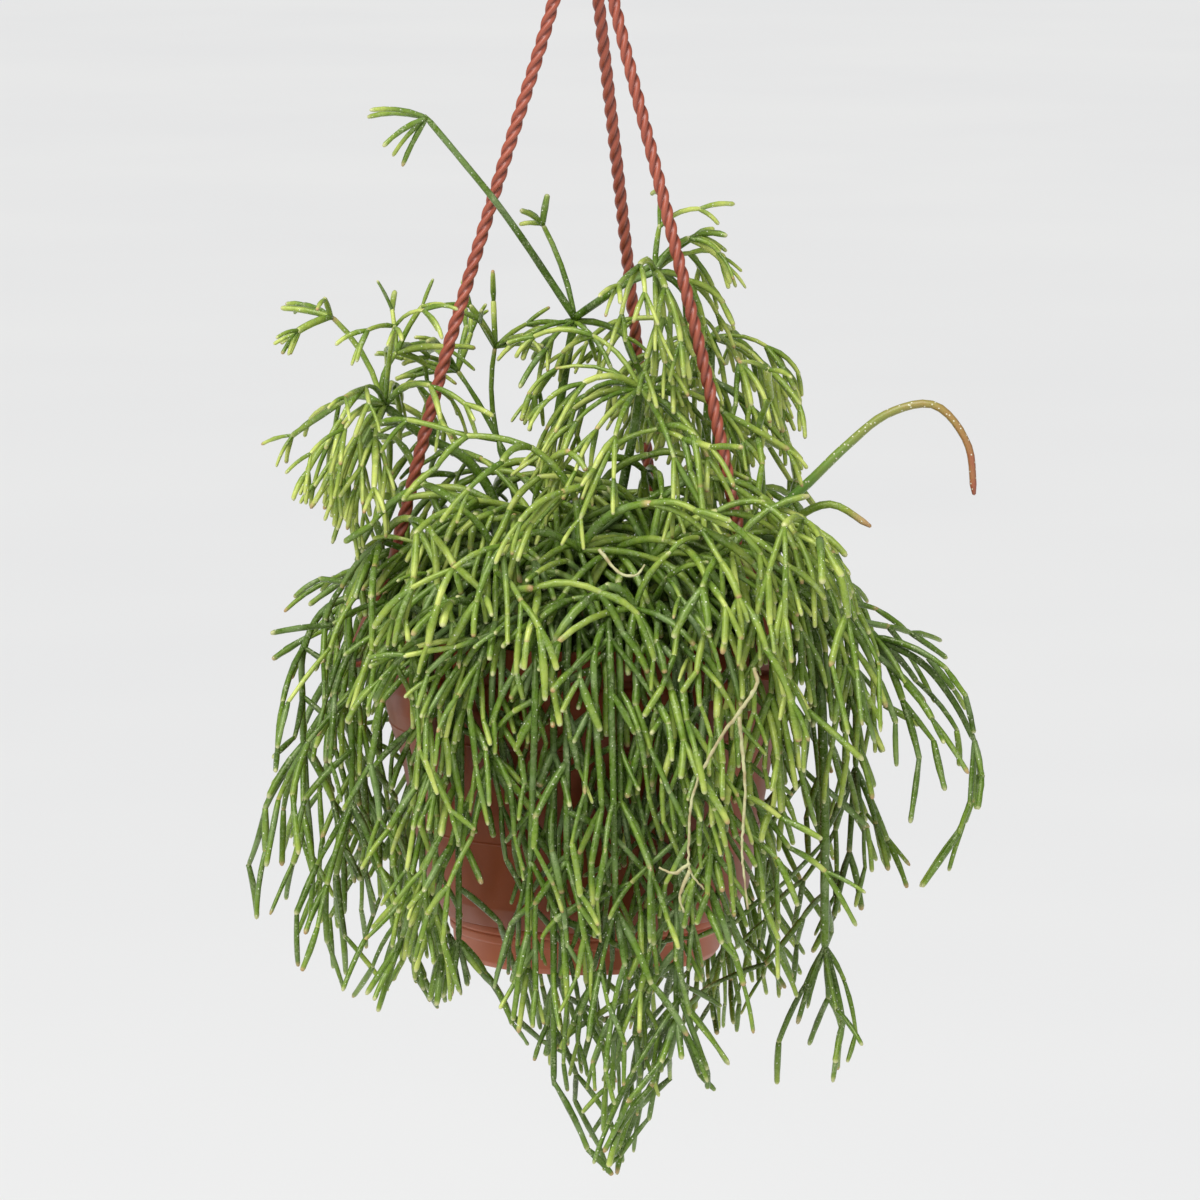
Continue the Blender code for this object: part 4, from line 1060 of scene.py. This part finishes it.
def stem_finish():
    """Waxy green stems: yellow-green when young and dark when old, and darker still with the painted
    shade of the stems inside the plant and in the falls; paler at the tip, with a fine bloom and small
    white woolly dots."""
    finish = Finish("rhipsalis_stem", 0.42)
    finish.give("Specular IOR Level", 0.5)
    finish.give("Specular Tint", (0.95, 1.0, 0.62))
    age, along, tip = map(finish.kept, ("age", "along", "tip"))
    drift = finish.patches(9.0, 0.3, 0.7, -0.18, 0.18)
    younger = finish.between(along, 0.45, 1.0, 0.0, -0.16)
    # The colour by age and painted shade, which darkens the stems inside the plant and in the falls
    green = finish.ramp(finish.sum(finish.sum(age, drift), younger), STEM_TONES_BY_AGE_AND_SHADE)
    bloom = finish.patches(1.6, 0.42, 0.72, 0.0, 0.2, 4.0, 0.7)
    green = finish.mixed(bloom, green, (0.36, 0.43, 0.2))
    green = finish.mixed(finish.between(along, 0.86, 1.0, 0.0, 0.35), green, (0.42, 0.47, 0.1))
    scar = finish.between(along, 0.915, 0.975, 0.0, 0.72)
    green = finish.mixed(scar, green, (0.62, 0.6, 0.33))
    brown_tip = finish.times(finish.between(along, 0.88, 0.99), finish.between(tip, 0.25, 0.6))
    green = finish.mixed(brown_tip, green, (0.42, 0.23, 0.1))
    grey = finish.times(finish.patches(17.0, 0.52, 0.66, 0.0, 0.5, 2.0), finish.between(age, 0.4, 0.65))
    green = finish.mixed(grey, green, (0.21, 0.3, 0.13))
    scurf = finish.patches(4.5, 0.52, 0.66, grain=0.7)
    scurf = finish.times(scurf, finish.patches(0.8, 0.42, 0.6, 0.0, 0.62, 2.0, 0.7))
    green = finish.mixed(scurf, green, (0.36, 0.43, 0.22))
    cells = finish.cells(0.27)
    distance = finish.sum(cells["Distance"], finish.times(finish.noise(1.1, 2.0), 0.12))
    dot = finish.between(distance, 0.09, 0.16, 1.0, 0.0)
    dot = finish.times(dot, finish.between(cells["Color"], 0.3, 0.75))
    finish.give("Base Color", finish.mixed(dot, green, (0.88, 0.9, 0.74)))
    finish.give("Roughness", finish.between(bloom, 0.0, 0.2, 0.26, 0.42))
    finish.bump(finish.sum(dot, finish.times(finish.noise(0.9), 1.1)), 0.2, 0.8)
    return finish.made


def shoot_finish():
    """A young shoot: like the stems, but it turns olive and red-brown along its last third."""
    finish = Finish("rhipsalis_shoot", 0.4)
    drift = finish.patches(7.0, 0.3, 0.7, -0.05, 0.05)
    colour = finish.ramp(finish.sum(finish.kept("along"), drift), SHOOT_COLOURS)
    dot = finish.between(finish.cells(0.3)["Distance"], 0.07, 0.12, 1.0, 0.0)
    finish.give("Base Color", finish.mixed(dot, colour, (0.7, 0.68, 0.5)))
    finish.bump(finish.sum(dot, finish.times(finish.noise(1.5), 0.5)), 0.14, 0.5)
    return finish.made


def plastic_finish(name, colour, worn, roughness):
    """Moulded terracotta-coloured plastic: a slight drift in its colour, dust that dulls it in places,
    and a fine grain."""
    finish = Finish(name, roughness)
    base = finish.mixed(finish.patches(38.0, 0.3, 0.7, detail=4.0), colour, worn)
    speck = finish.patches(0.7, 0.62, 0.78, 0.0, 0.22, 2.0, 0.8)
    dusty = finish.times(speck, finish.patches(14.0, 0.35, 0.65))
    finish.give("Base Color", finish.mixed(dusty, base, (0.5, 0.33, 0.26)))
    finish.give("Roughness", finish.patches(20.0, 0.3, 0.7, roughness - 0.05, roughness + 0.12))
    finish.give("Specular IOR Level", 0.32)
    finish.give("Sheen Weight", 0.04)
    finish.bump(finish.noise(0.55, 2.0), 0.05, 0.35)
    return finish.made


def rope_finish():
    """The hanger's plastic: its own red on the crests of its strands, and painted shade, dark, in the
    grooves between them.
    """
    finish = Finish("hanger_plastic", 0.36)
    lit = finish.mixed(finish.patches(16.0, 0.3, 0.7), (0.37, 0.09, 0.048), (0.31, 0.07, 0.038))
    # Painted shade: the grooves between the strands are coloured dark, and the crests keep the plastic's
    # own red
    crest = finish.between(finish.kept("crest"), 0.05, 0.75)
    finish.give("Base Color", finish.mixed(crest, (0.11, 0.018, 0.011), lit))
    finish.give("Roughness", finish.patches(5.0, 0.3, 0.7, 0.32, 0.46))
    finish.bump(finish.noise(0.5, 2.0), 0.04, 0.35)
    return finish.made


def soil_finish():
    """Damp potting mix: dark crumbs with lighter fibres and bits of bark."""
    finish = Finish("potting_mix", 0.95)
    crumb = finish.noise(3.2, 6.0, 0.7)
    bits = finish.node("ShaderNodeTexVoronoi", {"Vector": finish.place, "Scale": 260.0})
    bark = finish.between(bits.outputs["Distance"], 0.18, 0.26, 1.0, 0.0)
    bark = finish.times(bark, finish.patches(6.0, 0.52, 0.6))
    finish.give("Base Color", finish.mixed(bark, finish.ramp(crumb, SOIL_COLOURS), (0.2, 0.11, 0.055)))
    finish.bump(finish.sum(crumb, finish.times(bark, 0.5)), 1.2, 0.9)
    return finish.made


def straw_finish():
    """A dried thin stem: cream, with pale brown patches."""
    finish = Finish("dried_stem", 0.7)
    patch = finish.patches(5.0, 0.4, 0.62, detail=4.0)
    finish.give("Base Color", finish.mixed(patch, (0.5, 0.5, 0.26), (0.36, 0.29, 0.14)))
    finish.bump(finish.noise(0.8), 0.1, 0.5)
    return finish.made


def floor_finish():
    """A pale matt floor with a faint unevenness."""
    finish = Finish("pale_floor", 0.9)
    tone = finish.patches(900.0, 0.3, 0.7, detail=2.0)
    finish.give("Base Color", finish.mixed(tone, (0.84, 0.84, 0.84), (0.86, 0.86, 0.855)))
    return finish.made


# Pieces
POT_SIDES = 144
HUB_SIDES = 72
SOIL_SIDES = 96
SOIL_RINGS = 44
POT_ROUNDING = 0.7
SAUCER_ROUNDING = 0.5
HUB_ROUNDING = 0.8
WITNESS = 0.3  # how far the pot's two fine mould lines stand proud
WITNESS_HEIGHTS = (-41.0, -83.0)
HUB_GROOVE = ((0.0, 2.2), (0.5, 2.6), (0.5, 3.2), (0.0, 3.6))  # inwards, and above the hub's base
ROUND_SHARE = 0.4  # the most of a side that the rounding of a corner takes
SOIL_WALL = POT_INSIDE[:8]  # what the soil touches of the pot's inside
SOIL_CENTRE = 1.5  # the radius of the soil's innermost ring
SOIL_HEAP = 0.55  # the height of the soil's waves
SOIL_FADE = 6.0  # how far from the wall they fade out
HOOK_STEP = 1.2
HOOK_SIDES = 20
STRAND = 1.38  # half the thickness of one of the rope's three strands
STRAND_OFFSET = 1.34  # from the rope's middle to a strand's
ROPE_STEP = 0.9
ROPE_SIDES = 24
STRAP_CORNER = 5.0  # the power that squares off the strap's section
STRAP_WIDENING = 0.22  # how much wider the strap is at its foot
WIDE_FROM, WIDE_TO = 46, 22  # where it widens, counted back from its end
FLATTENING = 14.0  # the length over which the rope turns into the strap
DRIED_RADIUS = 0.85
DRIED_STEP = 1.6
DRIED_SIDES = 6
DRIED_UNEVEN = 0.12  # how far a dried stem strays from its line
SHOOTS = ("shoot_long", "shoot_short")
SHOOT_AGE = 0.45
SHOOT_TIP = 0.62  # a shoot's thickness at its tip, over that at its root
CANE_TIP = 0.8  # the same for the other canes


def with_witness_lines(profile):
    """The pot's outside with its two fine mould lines."""
    profile = np.asarray(profile, float)
    made = profile.tolist()
    for height in WITNESS_HEIGHTS:
        wall = float(np.interp(-height, -profile[:, 1], profile[:, 0]))
        steps = ((0, 0.5), (WITNESS, 0.2), (WITNESS, -0.2), (0, -0.5))
        place = next(k for k, point in enumerate(made) if point[1] < height - 0.5)
        made[place:place] = [[wall + out, height + up] for out, up in steps]
    return made


def make_pot(finish):
    """The pot: the solid's own profile with its corners rounded and its mould lines, turned finely."""
    profile = [(0, FOOT_BASE + WALL), *POT_INSIDE, *with_witness_lines(POT_OUTSIDE), (0, FOOT_BASE)]
    pot = turned_piece("terracotta_pot", rounded(profile[::-1], POT_ROUNDING), POT_SIDES, finish)
    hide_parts("pot")
    return pot


def make_saucer(finish):
    """The saucer with its two beads."""
    profile = [(0, FOOT_BASE - FIT_GAP), *SAUCER_INSIDE, *SAUCER_OUTSIDE, (0, SAUCER_BASE)]
    saucer = turned_piece("terracotta_dish", rounded(profile[::-1], SAUCER_ROUNDING), POT_SIDES, finish)
    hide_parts("saucer")
    return saucer


def make_soil(finish):
    """The soil: a turned body whose top is heaped and crumbly. The height at a place is a sum of four
    waves in x and y, which fades out towards the wall."""
    radius = NECK_RADIUS - WALL - SOIL_GAP
    wall = [(r - SOIL_GAP, h) for r, h in SOIL_WALL]
    top = [(r, SOIL_TOP) for r in np.linspace(radius, SOIL_CENTRE, SOIL_RINGS)]
    profile = [(0, FOOT_BASE + WALL + FIT_GAP), *wall, *top, (0, SOIL_TOP)]
    soil = turned_piece("potting_soil_top", profile, SOIL_SIDES, finish)
    mesh = soil.data
    points = np.empty(3 * len(mesh.vertices), np.float32)
    mesh.vertices.foreach_get("co", points)
    points = points.reshape(-1, 3)
    x, y = points[:, 0] / MM, points[:, 1] / MM
    waves = np.sin(0.9 * x + 1.3) * np.sin(1.1 * y) + 0.8 * np.sin(0.31 * x - 0.4 * y)
    waves += np.sin(2.1 * y + 1.7 * x)
    waves += 0.9 * np.sin(0.12 * x + 2) * np.cos(0.16 * y)
    is_top = points[:, 2] > (SOIL_TOP - 0.01 - HANG_DROP) * MM
    fade = 1 - smooth_rise(np.hypot(x, y), radius - SOIL_FADE, radius)
    points[:, 2] += np.where(is_top, SOIL_HEAP * waves * fade * MM, 0)
    mesh.vertices.foreach_set("co", points.ravel())
    mesh.update()
    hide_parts("soil")
    return soil


def rope_radius(angles):
    """The outline of three round strands side by side: the furthest crossing of a ray from the middle
    with the circle of the nearest strand, c cos a + root(r r - c c sin a sin a)."""
    turn = (angles + math.pi / 3) % (TURN / 3) - math.pi / 3
    inside = STRAND**2 - (STRAND_OFFSET * np.sin(turn)) ** 2
    return STRAND_OFFSET * np.cos(turn) + np.sqrt(inside)


def squared(wave):
    """A sine or a cosine raised to the power that squares off the strap, with its own sign."""
    return np.sign(wave) * np.abs(wave) ** (2 / STRAP_CORNER)


def make_arm(side, azimuth, finish):
    """A hanger arm: the outline of three twisted strands carried down the arm's line, which flattens
    into a strap that widens a little and turns in under the rim."""
    foot = [polar(azimuth, *point) for point in CLIP_LINE]
    path = smooth_path(np.vstack((arm_line(azimuth), foot)), ROPE_STEP)
    along = np.concatenate(([0], np.cumsum(spans_of(path))))
    strap_from = along[int(np.argmin(np.abs(path[:, 2] - STRAP_START)))]
    flat = smooth_rise(along, strap_from - FLATTENING / 2, strap_from + FLATTENING / 2)[:, None]
    angles = ring_angles(ROPE_SIDES)
    radius = rope_radius(angles[None] - TURN * along[:, None] / ROPE_LAY)
    widen = 1 + STRAP_WIDENING * smooth_rise(along, along[-1] - WIDE_FROM, along[-1] - WIDE_TO)[:, None]
    strap_x = squared(np.cos(angles[None])) * (STRAP_WIDTH * widen) / 2
    strap_y = squared(np.sin(angles[None])) * STRAP_THICKNESS / 2
    x = radius * np.cos(angles) * (1 - flat) + strap_x * flat
    y = radius * np.sin(angles) * (1 - flat) + strap_y * flat
    across = np.broadcast_to(polar(azimuth + 90, 1, 0), path.shape)
    up = np.cross(ways_along(path), across)
    grid = path[:, None] + x[..., None] * across[:, None] + y[..., None] * up[:, None]
    # How far out on a strand's crest each point lies, and 1 on the strap: the finish paints shade into
    # the grooves by it
    least = STRAND_OFFSET / 2 + math.sqrt(STRAND**2 - 0.75 * STRAND_OFFSET**2)
    crest = (radius - least) / (STRAND + STRAND_OFFSET - least) * (1 - flat) + flat
    arm = tube_piece(f"rope_arm_{side}", grid, finish)
    keep_value(arm, "crest", np.concatenate((crest.ravel(), crest[0, :1], crest[-1, :1])))
    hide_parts(f"hanger_arm_{side}")
    return arm


def hook_line():
    """The hook's centre line: up from the hub, out to one side and over the axis."""
    centre = HANG_DROP - HOOK_RADIUS + HOOK_WIRE
    neck = [(x, 0, HUB_TOP + z) for x, z in HOOK_NECK]
    angles = np.radians(HOOK_ARC)
    arc = [(HOOK_RADIUS * math.cos(a), 0, centre + HOOK_RADIUS * math.sin(a)) for a in angles]
    tip = [(x, 0, centre + z) for x, z in HOOK_TIP]
    return smooth_path([*neck, *arc, *tip], HOOK_STEP)


def make_hook(finish):
    """The hub, turned with rounded edges and a shallow groove, and the wire of the hook on it."""
    groove = [(HUB_RADIUS - depth, HUB_BASE + height) for depth, height in HUB_GROOVE]
    upward = HUB_OUTSIDE[::-1]
    profile = [*upward[:3], *groove, *upward[3:]]
    hub = turned_piece("hanger_hub", rounded(profile, HUB_ROUNDING), HUB_SIDES, finish)
    line = hook_line()
    t = np.linspace(0, 1, len(line))
    radii = HOOK_WIRE * np.sqrt(np.clip(1 - smooth_rise(t, 0.975, 1.003) ** 2, 0.02, 1))
    wire = tube_piece("hook_wire", tube_grid(line[None], radii[None], HOOK_SIDES)[0], finish)
    # The hub and the wire get no painted groove shade
    for piece in (hub, wire):
        keep_value(piece, "crest", np.ones(len(piece.data.vertices)))
    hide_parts("hanger_hook")
    return hub, wire


# Thin dried stems that hang among the green ones, as points along each
DRIED = (
    (
        (67, -112, -2), (67, -117, -10), (53, -118, -30), (43, -118, -51), (41, -118, -71),
        (41.5, -118, -83), (47, -117, -91),
    ),
    ((41.5, -118, -83), (37.5, -119, -93), (39, -119, -100)),
    ((41.3, -118, -80), (35, -118, -84), (29, -117, -82)),
    ((5, -98, 44), (12.6, -102, 35.4), (19.7, -103, 34.2), (23.3, -101, 38.2)),
    ((61, -110, -22), (63.4, -115, -50), (62.3, -116, -75), (64.7, -115, -99.5)),
)


def make_dried(finish):
    """The dried stems: thin tubes that thin towards their tips."""
    bundle = Bundle()
    rng = np.random.default_rng(SEED + 5)
    for points in DRIED:
        line = smooth_path(points, DRIED_STEP)
        t = np.linspace(0, 1, len(line))
        radii = DRIED_RADIUS * (1 - 0.5 * t) * (1 + rng.normal(0, 0.1, len(t)))
        line[1:-1] += rng.normal(0, DRIED_UNEVEN, line[1:-1].shape)
        place = (4.0, t[None] * spans_of(line).sum(), np.zeros((1, 2)))
        grid = tube_grid(line[None], radii[None], DRIED_SIDES)
        bundle.add(grid, np.array(((line[0], line[-1]),)), place)
    dried = bundle.piece("dried_stems", finish)
    return dried


def make_foliage(green, shoot):
    """One piece for each spray: its canes and its joints."""
    thicket, paths, ends = grow_plant()
    names = list(paths)
    joints, canes = skeleton_joints(paths)
    more, further = thicken(thicket, ends, {name: number for number, name in enumerate(names)})
    rng = np.random.default_rng(SEED + 3)
    made = []
    for name in names:
        if not paths[name]:
            continue
        bundle = Bundle(("age", "tip", "along"))
        is_shoot = name in SHOOTS
        for number, path in enumerate(canes.get(name, [])):
            thickness = CANE_THICK if number == 0 and name in PLACED_SPRAYS else CANE_FINE
            share, age, tip = SHOOT_TIP, SHOOT_AGE, 1.0
            if not is_shoot:
                share, age, tip = CANE_TIP, rng.uniform(0.8, 1.0), 0.0
            add_cane(bundle, path, thickness, share, age, tip, rng)
        for path in further.get(name, []):
            add_cane(bundle, path, CANE_FINE, CANE_TIP, rng.uniform(0.7, 1.0), 0.0, rng)
        own = [joint for joint in (*joints, *more) if joint.name == name]
        if own:
            add_joints(bundle, own, rng)
        piece = bundle.piece(f"{name}_stems", shoot if name == SHOOTS[0] else green)
        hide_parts(name)
        made.append(piece)
    return made


# The floor, the lights and the camera, in metres
FLOOR_REACH = 60.0
FLOOR_HEIGHT = -1.25
MIDDLE = (0.0, 0.0, -0.35)  # what the lights point at
SOFT_LIGHTS = (  # name, place, size and power
    ("key", (-1.3, -1.9, 1.0), 1.5, 33),
    ("fill", (1.9, -1.5, 0.2), 1.8, 9),
)
SUN_STRENGTH = 2.55
SUN_ANGLE = 36  # how wide the soft light from above is, in degrees
SUN_TILT = (28, -14)
SURROUND = (0.9, 0.91, 0.92, 1)
SURROUND_STRENGTH = 0.3
CAMERA_PITCH = 8.5
CAMERA_DISTANCE = 3.0
CAMERA_AIM = (0.0054, -0.3442)  # x and z
PIXEL = 0.4146 * MM  # what one pixel of the picture spans at the pot's middle
PICTURE = 1200
SENSOR = 36
FAR = 200  # as far as the camera sees


def make_floor():
    """A wide floor far below the hanging pot."""
    mesh = bpy.data.meshes.new("studio_floor")
    low, high = -FLOOR_REACH, FLOOR_REACH
    corners = [(x, y, FLOOR_HEIGHT) for x, y in ((low, low), (high, low), (high, high), (low, high))]
    mesh.from_pydata(corners, [], [(0, 1, 2, 3)])
    mesh.materials.append(floor_finish())
    floor = put("studio_floor", mesh)


def add_light(name, kind, power):
    """A light of a kind."""
    light = put(name, bpy.data.lights.new(name, kind))
    light.data.energy = power
    return light


def add_soft_light(name, place, size, power):
    """A square soft light that points at the object's middle."""
    light = add_light(name, "AREA", power)
    light.data.size = size
    light.location = place
    x, y, z = np.array(MIDDLE) - np.array(place)
    light.rotation_euler = (math.atan2(math.hypot(x, y), -z), 0, math.atan2(-x, y))


def light_studio():
    """A pale surround, a large soft light high in front on the left and weaker ones round the object."""
    world = bpy.data.worlds.new("studio")
    world.use_nodes = True
    background = world.node_tree.nodes["Background"].inputs
    background["Color"].default_value = SURROUND
    background["Strength"].default_value = SURROUND_STRENGTH
    bpy.context.scene.world = world
    bpy.context.scene.view_settings.view_transform = "Standard"
    for name, place, size, power in SOFT_LIGHTS:
        add_soft_light(name, place, size, power)
    overhead = add_light("overhead", "SUN", SUN_STRENGTH)
    overhead.data.angle = math.radians(SUN_ANGLE)
    overhead.rotation_euler = (*map(math.radians, SUN_TILT), 0)


def aim_camera():
    """The camera at the photo's height and distance."""
    pitch = math.radians(CAMERA_PITCH)
    data = bpy.data.cameras.new("photo_view")
    data.sensor_width = SENSOR
    data.lens = SENSOR * CAMERA_DISTANCE / (PICTURE * PIXEL)
    data.clip_end = FAR
    camera = put("photo_view", data)
    x, z = CAMERA_AIM
    camera.location = (x, -CAMERA_DISTANCE * math.cos(pitch), z + CAMERA_DISTANCE * math.sin(pitch))
    camera.rotation_euler = (math.pi / 2 - pitch, 0, 0)
    bpy.context.scene.camera = camera


def dress():
    """Makes every piece and lets it ride on the one body."""
    aim_camera()
    # The pot's terracotta is set darker than the saucer's, partly as painted shade for the plant that
    # hangs over the pot
    pot = plastic_finish("terracotta_plastic", (0.22, 0.043, 0.008), (0.265, 0.057, 0.012), 0.4)
    dish = plastic_finish("terracotta_saucer", (0.38, 0.1, 0.042), (0.43, 0.122, 0.054), 0.44)
    rope = rope_finish()
    pieces = [make_pot(pot), make_saucer(dish), make_soil(soil_finish())]
    pieces += [make_arm(side, azimuth, rope) for side, azimuth in ARM_AZIMUTHS.items()]
    pieces += make_hook(rope)
    pieces += make_foliage(stem_finish(), shoot_finish())
    pieces.append(make_dried(straw_finish()))
    for piece in pieces:
        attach(piece, "root")
    make_floor()
    light_studio()


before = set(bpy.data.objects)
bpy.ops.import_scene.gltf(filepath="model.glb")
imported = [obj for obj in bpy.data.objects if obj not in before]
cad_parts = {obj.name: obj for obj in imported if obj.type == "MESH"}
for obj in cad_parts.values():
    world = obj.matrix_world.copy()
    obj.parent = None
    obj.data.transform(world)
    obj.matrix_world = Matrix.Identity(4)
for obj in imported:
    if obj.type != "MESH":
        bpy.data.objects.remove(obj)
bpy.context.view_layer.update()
dress()
